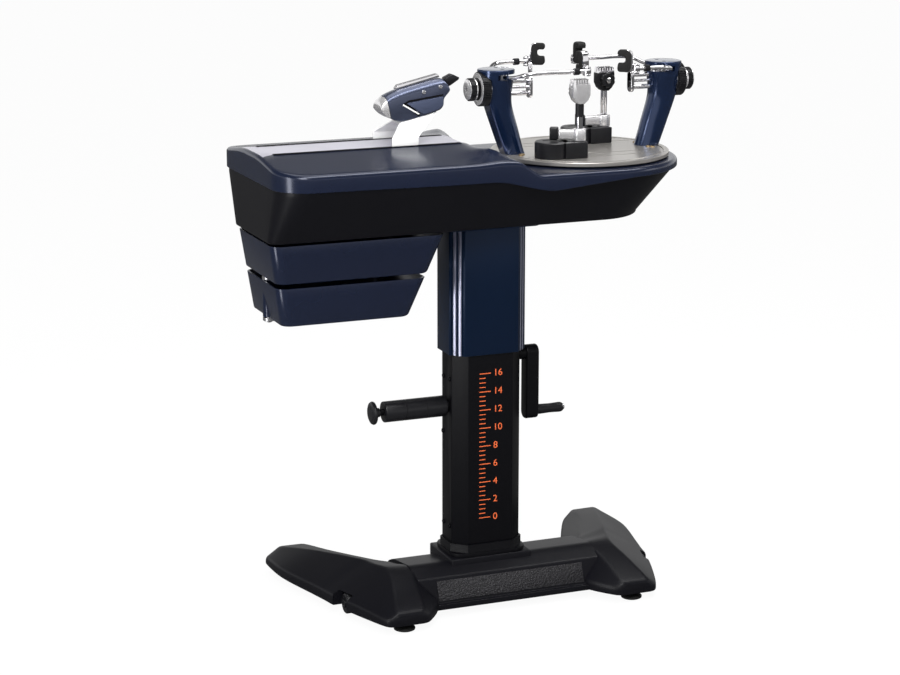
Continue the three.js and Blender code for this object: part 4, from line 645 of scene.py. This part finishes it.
def make_cover():
    spine = [(min(max(x, -LEFT_END + 150), 40), 0) for x, _ in plan()]

    def shrunk(t, inset=0):
        return [(mix(x, sx, t), mix(y, sy, t)) for (x, y), (sx, sy) in zip(plan(inset), spine)]

    shares = [1, 0.9, 0.82, 1 - SLOT / HALF_WIDTH, 0.68, 0.6, 0.52, 0.44, 0.36, 0.28, 0.2, 0.13, 0.08]
    rings = [draped(shrunk(t), 0) for t in shares]
    for k in range(8):
        angle = k / 7 * pi / 2
        rings.append(draped(plan(ROUND * (1 - sin(angle))), ROUND * (1 - cos(angle))))
    for inset, rise in ((0, 0.8), (0.8, 0), (3.4, 0), (COVER_WALL, 0.6)):
        rings.append([(x, y, skirt_height(x) + rise) for x, y in plan(inset)])
    rings.append(draped(plan(COVER_WALL), 12))
    rings += [draped(shrunk(t, COVER_WALL), 5) for t in (0.05, 0.2, 0.44, 0.743, 1)]
    rings.reverse()
    cover = skin("cover", rings, ends=False)
    slots = [block("slot", SLOT_X, (side * SLOT - 4, side * SLOT + 4), (0, 80)) for side in (-1, 1)]
    carve(cover, *slots, rod("shaft_hole", 37, -60, 30, 64))
    for word, side in ROWS:
        y = side * SLOT
        # The slots' linings are near black: painted shade inside the slots.
        trim = block("slot_trim_painted_shade_" + word, (SLOT_X[0] - 3, SLOT_X[1] + 3), (y - 5.5, y + 5.5), (35.5, 38.6))
        carve(trim, block("opening", SLOT_X, (y - 2.5, y + 2.5), (30, 45)))
        settle(trim, DECK, "lift", "black_plastic", painted_recess_shade)
    settle(cover, DECK, "lift", *NAVY, "top_cover", angle=38)
    # The upward faces between the slots take the pale lilac, a painted reflection of the ceiling on the navy cover.
    cover.data.materials.append(painted_reflection_lilac)
    for face in cover.data.polygons:
        middle = face.center - DECK.translation
        if abs(middle.y) < (SLOT - 2) / 1000 and -0.730 < middle.x < -0.16 and face.normal.z > 0.3:
            face.material_index = 1


def make_lower_housing():
    def ring(inset, half, z, left=735, corner=26):
        return [(x, y, z) for x, y in plan(inset, left, half, half - 8, corner)]

    rings = [ring(inset, 129, z) for inset, z in ((6, -133), (3, -132.6), (1.2, -131.4), (0.3, -129.4), (0, -127))]
    rings += [ring(inset, 209.7, z, 733.7, 67.7) for inset, z in ((0, -27), (0, -17.3), (5, -17.3), (5, -27))]
    rings += [ring(5, 129, -126), ring(9, 129, -128)]
    settle(skin("housing_body", rings), DECK, "lift", "black_shell", shell_black, "lower_housing", angle=40)


def tray_ring(depth, inset):
    """A tray's outline at a depth under the housing: it narrows downwards, more so from its right end."""
    t = depth / 169
    left, right, half = 729 - 24 * t - inset, 354 + 74 * t + inset, mix(120, 106, t) - inset
    middle = -(left + right) / 2
    return [(middle + x, y, TRAY_TOP - depth)
            for x, y in rounded((left - right) / 2, half, max(22 - inset * 0.6, 3), 10)]


def make_trays():
    axis = DECK @ at(TRAY_AXIS, 0, 0)
    for level, word in enumerate(("upper", "lower")):
        top = level * 89
        low = top + 80
        edges = [(low, 9), (low, 5), (low - 0.5, 2.4), (low - 1.8, 0.8), (low - 4, 0), (top + 0.9, 0),
                 (top + 0.25, 0.25), (top, 0.9), (top, 3.2), (top + 0.7, 4), (low - 6, 4), (low - 4, 6)]
        body = "tray_" + word
        tray = skin("tray_box_" + word, [tray_ring(depth, inset) for depth, inset in edges])
        carve(tray, moved(rod("pivot_hole", 6.6, -330, -120), TRAY_AXIS, 0, 0))
        settle(tray, DECK, body, *NAVY, body)
        boss = lathed("tray_boss_" + word, [(13, TRAY_TOP - low + 2), (13, TRAY_TOP - top)], 48)
        carve(boss, rod("boss_hole", 6.6, -330, -120))
        settle(boss, axis, body, *NAVY)
    profile = [(4.4, -319), (6, -317.4), (6, -315.6), (11.4, -315.6), (13, -314.4), (13, -308.3), (6, -308.3),
               (6, -227.7), (13, -227.7), (13, -219.3), (6, -219.3), (6, -138.7), (18, -138.7), (18, -133.3)]
    settle(lathed("tray_hinge", profile, 48), axis, "lift", "steel", steel, "tray_pivot")


# ---- Turntable ----

def make_plate():
    profile = [(25, -121), (25, -9), (188.6, -9), (190, -7.6), (190, -1.4), (189.2, -0.3), (188, 0),
               (178.4, 0), (178, -1.6), (173, -1.6), (172.6, 0), (60, 0), (59.7, -0.35), (58.9, -0.35), (58.6, 0)]
    plate = lathed("turntable_top", profile, 144)
    carve(plate, *[block("groove", (-150, 150), (y - 1.5, y + 1.5), (-2.5, 4)) for y in (-104, -66, 66, 104)])
    settle(plate, DECK, "turntable", "plate_silver", plate_silver, "turntable_plate")
    screws = []
    for side, (x, y) in product((-1, 1), ((153.6, -39), (153.6, 39), (147.2, -31), (147.2, 31))):
        head = lathed("post_screw", [(5.6, 0), (5.4, 1.6), (3.8, 2.8), (1.6, 3), (1.6, 1.4), (1.2, 1.4)], 24)
        screws.append(moved(head, side * x, y, 0.02))
    settle(joined("post_screws", *screws), DECK, "turntable", "plate_silver", brass)


# Heights over the plate: the axis of the wheels on the posts, and the slot for the side arms.
AXLE, ARM_Z = 139, 165
# Where the side arms' pins stand, and how far out and how high the arms carry their pads.
PIN_X, PIN_Y, PAD_Y, PAD_Z = 188, 17, 101, 179
ON_AXLE = shift(0, 0, AXLE) @ ALONG_X
# A post's rows from foot to top: height, lean, growth, width across and flatness of its outer side.
POST = [
    [0, 0, 0, 1.06, 1], [0.14, 0.22, 0.06, 1.02, 1], [0.3, 0.45, 0.14, 1, 1], [0.56, 0.82, 0.22, 1.04, 1],
    [0.72, 0.92, 0.4, 1.04, 0.8], [0.87, 0.975, 0.78, 1.02, 0.3], [0.955, 1, 1, 1, 0], [1, 1, 1, 1, 0],
]
# How sharply a post's round side turns into its flat side.
FIRM = 26


def post_ring(height, lean, growth, crosswise, flat, inset=0, lift=0):
    centre = -mix(155, 195, lean)
    radius = mix(24, 39, growth) - inset
    stretch = mix(1, sqrt(2), flat)
    ring = []
    for k in range(56):
        angle = 2 * pi * k / 56
        along = -cos(angle)
        if along > 0 and flat > 0.01:
            along = -log(exp(-FIRM * along * stretch) + exp(-FIRM)) / FIRM
        ring.append((centre - radius * along, radius * crosswise * sin(angle), mix(0.3, 180, height) + lift))
    return ring


def make_posts():
    for word, place in ENDS.items():
        *rows, top = eased(POST)
        rings = [post_ring(*row) for row in rows]
        for k in range(5):
            angle = k / 4 * pi / 2
            rings.append(post_ring(*top, 2.2 * (1 - cos(angle)), -2.2 * (1 - sin(angle))))
        post = skin("post_" + word + "_cast", rings)
        slot_box = block("arm_slot", (-205, -77), (-80, 80), (ARM_Z - 5.8, ARM_Z + 5.8))
        relief = turn(rod("wheel_relief", 36.6, -273, -216.5, 72), ON_AXLE)
        pins = [moved(rod("pin_hole", 4.3, 150, 180, 24), -PIN_X, side * PIN_Y, 0) for side in (-1, 1)]
        guides = [moved(turn(rod("guide_hole", 5.4, -198.3, -78, 32), ON_AXLE), 0, 0, z) for z in (-13, 13)]
        carve(post, slot_box, relief, *pins, *guides)
        settle(post, place, "turntable", "post_blue", post_blue, "post_" + word, angle=36)
        boss = lathed("post_boss_" + word, [(21.6, -216.5), (25.4, -214.8), (27, -211), (27, -190)], 72)
        carve(boss, rod("spindle_hole", 6.5, -230, -196, 32))
        settle(boss, place @ at(0, 0, AXLE) @ ALONG_X, "turntable", "post_blue", post_blue)


def knurled(name, radius, depth, ribs, low, high, chamfer=1.2, bore=0):
    """A wheel or knob along Z with a ribbed rim and chamfered ends."""

    def ring(z, inset):
        points = []
        for k in range(ribs):
            for share, deep in ((0, 0), (0.3, 0), (0.5, 1), (0.8, 1)):
                angle = 2 * pi * (k + share) / ribs
                r = radius - inset - deep * depth
                points.append((r * cos(angle), r * sin(angle), z))
        return points

    edges = ((low, chamfer + depth), (low + chamfer, 0), (high - chamfer, 0), (high, chamfer + depth))
    piece = skin(name, [ring(z, inset) for z, inset in edges])
    return carve(piece, rod("bore", bore, low - 9, high + 9, 40)) if bore else piece


def make_wheels():
    for word, place in ENDS.items():
        axis = place @ at(0, 0, AXLE) @ ALONG_X
        wheel, dial = "arm_wheel_" + word, "support_knob_" + word
        rim = knurled("arm_dial_" + word, 36, 1.3, 56, -237, -217, 1.6, 6.5)
        settle(rim, axis, wheel, *PLASTIC, wheel)
        profile = [(25, -237.6), (33.2, -237.2), (33.6, -236.6), (33.4, -236.2), (24, -236.2), (24, -237.4),
                   (25, -237.6)]
        settle(lathed("arm_dial_face_" + word, profile), axis, wheel, *SATIN)
        profile = [(28, -217), (29.8, -216.8), (29.8, -215.4), (28, -215.2), (28, -217)]
        settle(lathed("arm_dial_ring_" + word, profile), axis, "turntable", *CHROME)
        knob = knurled("support_dial_" + word, 24, 1.1, 40, -258.6, -246)
        settle(knob, axis, dial, *PLASTIC, dial)
        profile = [(6, -200), (6, -239.5), (15, -239.5), (21, -242.6), (22.4, -244), (22.4, -246.2)]
        settle(lathed("support_dial_neck_" + word, profile, 64), axis, dial, *SATIN)
        profile = [(21.6, -258.2), (21.6, -259.6), (18.5, -261.4), (15, -262), (6, -262), (5.6, -261.4)]
        cap = carve(lathed("support_dial_cap_" + word, profile, 64), rod("socket", 5.2, -270, -257.5, 6))
        settle(cap, axis, dial, *SATIN)


def make_inner_supports():
    for word, place in ENDS.items():
        body = "inner_support_" + word
        rods = [moved(turn(soften(rod("guide_rod", 5, -198, -116), 0.5, 2, 60), ON_AXLE), 0, 0, z) for z in (-13, 13)]
        rods.append(turn(rod("feed_screw", 3.2, -196, -116, 32), ON_AXLE))
        settle(joined("support_rods_" + word, *rods), place, body, *CHROME)
        plate = turn(slab("support_plate_" + word, rounded(11, 23.5, 9.5), -122, -115),
                     shift(0, 0, AXLE) @ CROSSWAYS)
        settle(soften(plate, 1.4), place, body, *CHROME, body)
        outline = [(-7, 139), (7, 139), (7, 181), (5.6, 187.4), (3, 190), (-3, 190), (-5.6, 187.4), (-7, 181)]
        tongue = soften(cross_slab("support_tongue_" + word, outline, -119, -115), 0.7, 2)
        settle(tongue, place, body, *CHROME)


# Side arms: post, name, side, the pad's and the bend's distance from the middle, and the pad's yaw.
ARMS = (("left", "front", -1, 32, 150, 90), ("left", "back", 1, 81, 138, -30),
        ("right", "back", -1, 32, 150, 90), ("right", "front", 1, 81, 138, -30))


def bent_bar(name, points, radius):
    """A round bar bent along a smooth curve through the points."""
    line = bpy.data.curves.new(name, "CURVE")
    line.dimensions = "3D"
    spline = line.splines.new("BEZIER")
    spline.bezier_points.add(len(points) - 1)
    for knot, point in zip(spline.bezier_points, points):
        knot.co = point
        knot.handle_left_type = knot.handle_right_type = "AUTO"
    line.bevel_depth, line.bevel_resolution, line.resolution_u = radius, 6, 10
    line.use_fill_caps = True
    pick(placed(bpy.data.objects.new(name, line)))
    bpy.ops.object.convert(target="MESH")
    return tidied(begun(name))


def make_side_arms():
    for word, facing, side, end, bend, yaw in ARMS:
        place = ENDS[word]
        body = "side_arm_" + word + "_" + facing
        points = [(-PIN_X, side * 21, ARM_Z)]
        for inwards, outwards, upwards in ((0, 0.3, 0), (0.18, 0.62, 0.25), (0.6, 0.93, 0.85), (1, 1, 1)):
            points.append((-mix(PIN_X, bend, inwards), side * mix(PIN_Y, PAD_Y, outwards),
                           mix(ARM_Z, PAD_Z, upwards)))
        points += [(-x, side * PAD_Y, PAD_Z) for x in (mix(end, bend, 0.5), end + 4.5)]
        settle(bent_bar(body + "_bar", points, 4.4), place, body, *CHROME, body, angle=50)
        profile = [(4, 152.8), (4, 159.7), (12.4, 159.7), (13, 160.3), (13, 169.7), (12.4, 170.3), (4, 170.3),
                   (4, 177)]
        settle(lathed(body + "_hub", profile, 48), place @ at(-PIN_X, side * PIN_Y, 0), body, *CHROME)
        collar = lathed(body + "_collar", [(r, -end - away) for r, away in (
            (4, 31), (6.4, 31), (7.2, 30), (7.2, 19), (6.4, 18), (4, 18))], 8)
        settle(collar, place @ at(0, side * PAD_Y, PAD_Z) @ ALONG_X, body, "chrome", plastic)
        eye = soften(rod(body + "_eye", 8, PAD_Z - 5.5, PAD_Z + 5.5, 48), 1.2)
        carve(eye, rod("pin_bore", 3.3, 160, 200, 24))
        spot = place @ at(-end, side * PAD_Y, 0)
        settle(eye, spot, body, *CHROME)
        make_pad("frame_pad_" + word + "_" + facing, spot @ about_z(yaw))


def make_pad(body, place):
    """A pad: a rubber jaw with a gap for the racket's frame, its carrier and its pin with two lugs."""
    start, low, high = 8.5, 172, 218
    back, under, over = start + 14, mix(low, high, 0.56) - 7.5, mix(low, high, 0.56) + 7.5
    bottom = [(2, 9), (4, 3), (9, 0), (26, 0), (30, 2.5), (31, 8)]
    gap = [(start + 29.5, under), (back + 4, under), (back, under + 4),
           (back, over - 4), (back + 4, over), (start + 29.5, over)]
    top = [(31, -7), (30, -2.5), (26, 0), (10, 0), (4.4, -3), (2, -9)]
    jaw = [*((start + x, low + z) for x, z in bottom), *gap, *((start + x, high + z) for x, z in top)]
    pad = soften(side_slab(body + "_jaw", cornered(jaw, [3] * len(jaw)), -9, 9), 1.6)
    settle(pad, place, body, "rubber", rubber, body)
    bottom = [(-1, 10), (1.5, 3), (7, -0.6), (14, -0.8), (14, 2), (6.5, 4), (3.6, 10)]
    top = [(3.6, -10), (6.5, -4), (13, -2), (13, 0.8), (7, 0.6), (1.5, -3), (-1, -10)]
    shell = [*((start + x, low + z) for x, z in bottom), *((start + x, high + z) for x, z in top)]
    carrier = soften(side_slab(body + "_carrier", shell, -6.5, 6.5), 0.7, 2)
    settle(carrier, place, body, *CHROME)
    spans = [(PAD_Z + z, PAD_Z + z + 4) for z in (5.8, -9.8)]
    lugs = [rod("lug", 7, *span) for span in spans]
    lugs += [block("lug_arm", (0, start + 3), (-5.6, 5.6), span) for span in spans]
    lugs.append(rod("pad_pin", 3, 168.2, 190.6, 24))
    settle(soften(joined(body + "_lugs", *lugs), 0.6, 2, 50), place, body, *CHROME)


def make_clamps():
    for word, x, y, lever_turn, facing in (("front", -47, -98, -28, 180), ("rear", 88, 68, -10, 0)):
        place, body = DECK @ at(x, y, 0), "clamp_base_" + word
        disc = lathed("clamp_disc", [(35.4, 0.3), (36, 1), (36, 32), (34, 34), (20, 34), (19, 33.2), (8, 33.2)])
        moved(disc, -56, 15, 0)
        foot = soften(block("clamp_block", (-40, 10), (-23, 23), (0.3, 34)), 1.6)
        carve(foot, rod("post_hole", 7.6, 17, 50))
        settle(joined("clamp_foot_" + word, disc, foot), place, body, *PLASTIC, body)
        make_clamp_lever(word, place @ about_z(lever_turn))
        make_clamp_post(word, place @ about_z(facing))


def make_clamp_lever(word, place):
    body = "clamp_lever_" + word
    ring = carve(soften(rod("lever_ring", 14, 34.3, 59.3, 48), 1.5), rod("ring_bore", 7.6, 20, 80))
    arm = soften(slab("lever_arm", [(-44, -8.5), (-10, -8.5), (-10, 8.5), (-44, 8.5)], 36.3, 57.3), 3.5, 4)
    settle(joined("clamp_lever_arm_" + word, ring, arm), place, body, *SATIN, body)
    tip = moved(slab("clamp_lever_tip_" + word, rounded(9, 11.5, 4, 6), 36.3, 61.3), -53, 0, 0)
    settle(soften(tip, 2), place, body, *PLASTIC)


def make_clamp_post(word, place):
    """A clamp's post, its split and toothed head, and the knob that closes it."""
    body = "clamp_post_" + word
    if word == "front":
        post = lathed(body + "_tube", [(7, 11.6), (7, 84.5)], 48)
        sleeve = lathed(body + "_sleeve", [(8.4, 84), (9, 84.6), (9, 111.4), (8.4, 112), (7, 112), (7, 119)], 48)
        settle(sleeve, place, body, *PLASTIC)
    else:
        rods = [moved(lathed("rod", [(2.9, 11.6), (2.9, 80), (3.3, 81), (3.3, 118)], 32), x, 0, 0) for x in (-4, 4)]
        post = joined(body + "_rods", *rods)
    settle(post, place, body, *CHROME, body)
    low, top, screw_z = 112, 163, 136
    outline = [(-7, low), (7, low), (15, low + 7), (20, low + 18), (20, low + 37), (17.2, top), (-17.2, top),
               (-20, low + 37), (-20, low + 18), (-15, low + 7)]
    head = soften(side_slab(body + "_head", outline, -11, 11), 1.2, 2)
    slit = block("slit", (-40, 40), (-0.8, 0.8), (top - 26, top + 6))
    teeth = [block("tooth_gap", (x - 1.7, x + 1.7), (-22, 22), (top - 10, top + 6))
             for x in (mix(-17.2, 17.2, k / 6) for k in range(1, 6))]
    hole = turn(rod("pin_hole", 4.4, 2.7, 40, 32), shift(0, 0, screw_z) @ SIDEWAYS)
    carve(head, slit, *teeth, hole)
    if word == "rear":
        comb = twin(head, body + "_comb")
        carve(comb, block("below", (-40, 40), (-40, 40), (0, top - 12)))
        carve(head, block("above", (-40, 40), (-40, 40), (top - 12, top + 20)))
        settle(comb, place, body, *CHROME)
    settle(head, place, body, "chrome", satin_silver if word == "front" else plastic)
    axis, turning = place @ at(0, 0, screw_z) @ SIDEWAYS, "clamp_knob_" + word
    knob = lathed("clamp_screw_" + word, [(4, 3.3), (4, 11.3), (15.4, 11.3), (16, 12), (16, 22.3), (14.4, 24.3),
                                          (8, 24.3), (7.6, 23.4), (3, 23.4)], 56)
    angles = [k / 6 * 2 * pi for k in range(6)]
    carve(knob, *[moved(rod("grip", 4, 13.3, 40, 24), 17.4 * cos(a), 17.4 * sin(a), 0) for a in angles])
    settle(knob, axis, turning, *PLASTIC, turning)
    nut = lathed("clamp_screw_nut_" + word, [(6, 23.2), (6, 25.2), (5, 26), (2.6, 26), (2.6, 24.6), (2.2, 24.6)], 6)
    settle(nut, axis, turning, *CHROME)


# ---- Tension head ----

HEAD_LENGTH, HEAD_HEIGHT = 156, 64
HEAD_OUTLINE = [
    (-0.5, 0.08), (-0.487, 0.22), (-0.449, 0.32), (-0.378, 0.406), (-0.269, 0.466), (-0.128, 0.495), (0, 0.5),
    (0.295, 0.5), (0.442, 0.469), (0.487, 0.36), (0.5, 0.125), (0.474, 0), (0.385, -0.14), (0.365, -0.36),
    (0.308, -0.47), (0.09, -0.5), (-0.154, -0.5), (-0.269, -0.47), (-0.359, -0.375), (-0.442, -0.195),
    (-0.487, -0.03),
]


def on_head(shares):
    """Points given as shares of the head's length and height."""
    return [(a * HEAD_LENGTH, b * HEAD_HEIGHT) for a, b in shares]


def make_head():
    on = (HEAD, "carriage")
    outline = cornered(on_head(HEAD_OUTLINE), [9] * len(HEAD_OUTLINE))
    crown = [(25, 15), (24.4, 11.6), (22.6, 7.6), (19.4, 4.2), (14.6, 1.5), (9, 0)]
    crown = [(-y, drop) for y, drop in crown] + [(y, drop) for y, drop in reversed(crown)]
    rings = [[(x, y, z - drop * max(0, z * 2 / HEAD_HEIGHT)) for x, z in outline] for y, drop in crown]
    body = soften(skin("head_body", rings), 3, 3, 50)
    cap = twin(body, "head_cap")
    carve(body, block("beyond", (-90, -60), (-60, 60), (-60, 60)))
    carve(cap, block("within", (-61.2, 90), (-60, 60), (-60, 60)))
    settle(body, *on, "post_blue", head_blue, "tension_head")
    settle(cap, *on, "post_blue", satin_silver)
    lever = on_head([(-0.139, 0.04), (0.378, -0.07), (0.359, -0.33), (0.288, -0.43), (0.06, -0.45)])
    panel = soften(side_slab("lever_panel", cornered(lever, (2, 4, 4, 6, 3)), 25.3, 28.5), 0.9)
    settle(panel, HEAD, "release_lever", "lever_grey", lever_grey, "release_lever")
    # Painted shade: a thin near-black sheet on the head's side stands for the shade in its groove.
    groove = on_head([(-0.185, 0.06), (-0.1, 0.115), (0.39, 0), (0.385, -0.05), (-0.12, 0.055), (0.02, -0.47),
                      (-0.02, -0.47)])
    settle(side_slab("head_groove_painted_shade", groove, 24.7, 25.5), *on, "black_plastic", painted_recess_shade)
    line = on_head([(-0.2, 0.02), (-0.185, 0.045), (0.01, -0.4), (-0.01, -0.42)])
    settle(side_slab("head_line", line, 24.8, 25.9), *on, "white_paint", white_gloss)
    for name, x, z in (("head_screw_near", 20, 15), ("head_screw_far", 58, 16)):
        settle(hex_screw(name, 4.4, 1.6), HEAD @ at(x, -25, z) @ SIDEWAYS, "carriage", "chrome", steel)
    make_jaws_and_nose()
    dressed("head_bracket", 0.8, "carriage", "white_paint", white_gloss, 2)


def make_jaws_and_nose():
    low = 32.5
    outline = [(-49.5, low), (49.5, low), (49.5, low + 4.8), (45.5, low + 8), (-43.1, low + 8), (-49.5, low + 3.2)]
    for name, body in (("gripper_jaw_fixed", "carriage"), ("gripper_jaw_moving", "gripper_jaw_moving")):
        jaw = side_slab(name + "_bar", outline, 1, 6)
        if body == "carriage":
            tidied(turn(jaw, Matrix.Scale(-1, 4, (0, 1, 0))))
        settle(soften(jaw, 0.6, 2), HEAD @ at(17.5, 0, 0), body, *CHROME, name)
    shares = [(0, 0), (0.25, 0.05), (0.9, 0.36), (1, 0.53), (0.57, 1), (0, 0.84), (-0.06, 0.65)]
    nose = side_slab("nose_tip", [(78.3 + a * 30.5, 8.5 + b * 22.5) for a, b in shares], -11, 11)
    settle(soften(nose, 1.6), HEAD, "carriage", *PLASTIC, "nose_guide")


# ---- Parts that keep their CAD shape ----

def dress_inner_nodes():
    """Pieces inside the housing and column keep their own solids, in steel, with the motor in black plastic and the
    nut in brass.
    """
    others = {"tension_motor": plastic, "lift_nut": brass}
    for node in ("carriage_rails", "tension_motor", "tension_screw", "tension_carriage", "turntable_bearing",
                 "crank_shaft", "lift_screw", "screw_bearing", "lift_nut"):
        painted(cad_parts[node], others.get(node, steel))


# ---- Stage ----

WHITE = (1, 1, 1, 1)


def blend(tree, share, first, second):
    return linked(tree, "MixShader", (0, share), (1, first), (2, second))


def make_floor():
    """A floor that is almost pure white to the camera, with faint shadows, and dark in reflections."""
    unpick()
    bpy.ops.mesh.primitive_plane_add(size=60, location=(0, 0, -0.0005))
    floor = begun("floor")
    paint = bpy.data.materials.new("white studio floor")
    tree = tree_of(paint)
    shader = fill(tree.nodes["Principled BSDF"], ("Base Color", (0.93, 0.93, 0.93, 1)), ("Roughness", 0.9),
                  ("Specular IOR Level", 0.1))
    rays = linked(tree, "LightPath").outputs
    level = linked(tree, "MapRange", ("Value", rays["Is Camera Ray"]), ("To Min", 0.1), ("To Max", 1))
    glow = linked(tree, "Emission", ("Color", WHITE), ("Strength", level))
    seen = linked(tree, "Math", (0, rays["Is Camera Ray"]), (1, rays["Is Glossy Ray"]), operation="MAXIMUM")
    share = linked(tree, "Math", (0, seen), (1, 0.94), operation="MULTIPLY")
    fill(tree.nodes["Material Output"], ("Surface", blend(tree, share, shader, glow)))
    floor.data.materials.append(paint)


def make_world():
    """A white room: white to the camera, softer as light, and darker towards the top in reflections."""
    scene.world = bpy.data.worlds.new("white studio")
    tree = tree_of(scene.world)
    rays = linked(tree, "LightPath").outputs
    place = linked(tree, "TexCoord").outputs["Generated"]
    height = linked(tree, "SeparateXYZ", ("Vector", place)).outputs["Z"]
    fade = linked(tree, "MapRange", ("Value", height), ("From Min", 0.25), ("From Max", 0.38), ("To Min", 1),
                  ("To Max", 0.12))
    soft, white, gloss = (linked(tree, "Background", ("Color", WHITE), ("Strength", strength))
                          for strength in (0.6, 1, fade))
    last = blend(tree, rays["Is Camera Ray"], blend(tree, rays["Is Glossy Ray"], soft, gloss), white)
    fill(tree.nodes["World Output"], ("Surface", last))


def make_lamps():
    for name, place, aim, width, length, power in (
            ("key lamp", (-1.8, -3.6, 3.8), (0, 0, 0.8), 1.6, 1.6, 140),
            ("top lamp", (0.2, 0.6, 3.6), (0, 0, 0.9), 2.2, 2.2, 36),
            ("side lamp", (3.4, -1.4, 2), (0.2, 0, 0.8), 1.2, 1.2, 13),
            ("edge lamp", (0.5, -0.75, 3), (0.1, 0, 0.9), 3.2, 0.5, 58),
            ("corner lamp", (-2.4, -1, 0.9), (0, 0, 0.8), 0.5, 1.8, 30)):
        lamp = bpy.data.lights.new(name, "AREA")
        lamp.shape = "RECTANGLE"
        lamp.size, lamp.size_y, lamp.energy = width, length, power
        holder = placed(bpy.data.objects.new(name, lamp))
        holder.location = place
        holder.rotation_euler = (Vector(aim) - Vector(place)).to_track_quat("-Z", "Y").to_euler()


def make_camera():
    """The camera as fitted to the photo: focal length in pixels, place, pitch and yaw."""
    focal, photo_width, sensor = 2399.14, 900, 36
    lens = bpy.data.cameras.new("camera")
    lens.sensor_width, lens.lens = sensor, focal / photo_width * sensor
    lens.clip_start, lens.clip_end = 0.1, 100
    camera = placed(bpy.data.objects.new("camera", lens))
    camera.location = (-1.91830, -4.65056, 1.78293)
    camera.rotation_euler = (pi / 2 - 0.237475, 0, -0.383728)
    scene.camera = camera


make_camera()
make_floor()
make_world()
make_lamps()
make_base()
make_column()
make_crank()
make_reel_holder()
make_cover()
make_lower_housing()
make_trays()
make_plate()
make_posts()
make_wheels()
make_inner_supports()
make_side_arms()
make_clamps()
make_head()
dress_inner_nodes()

scene.view_settings.view_transform = "Standard"
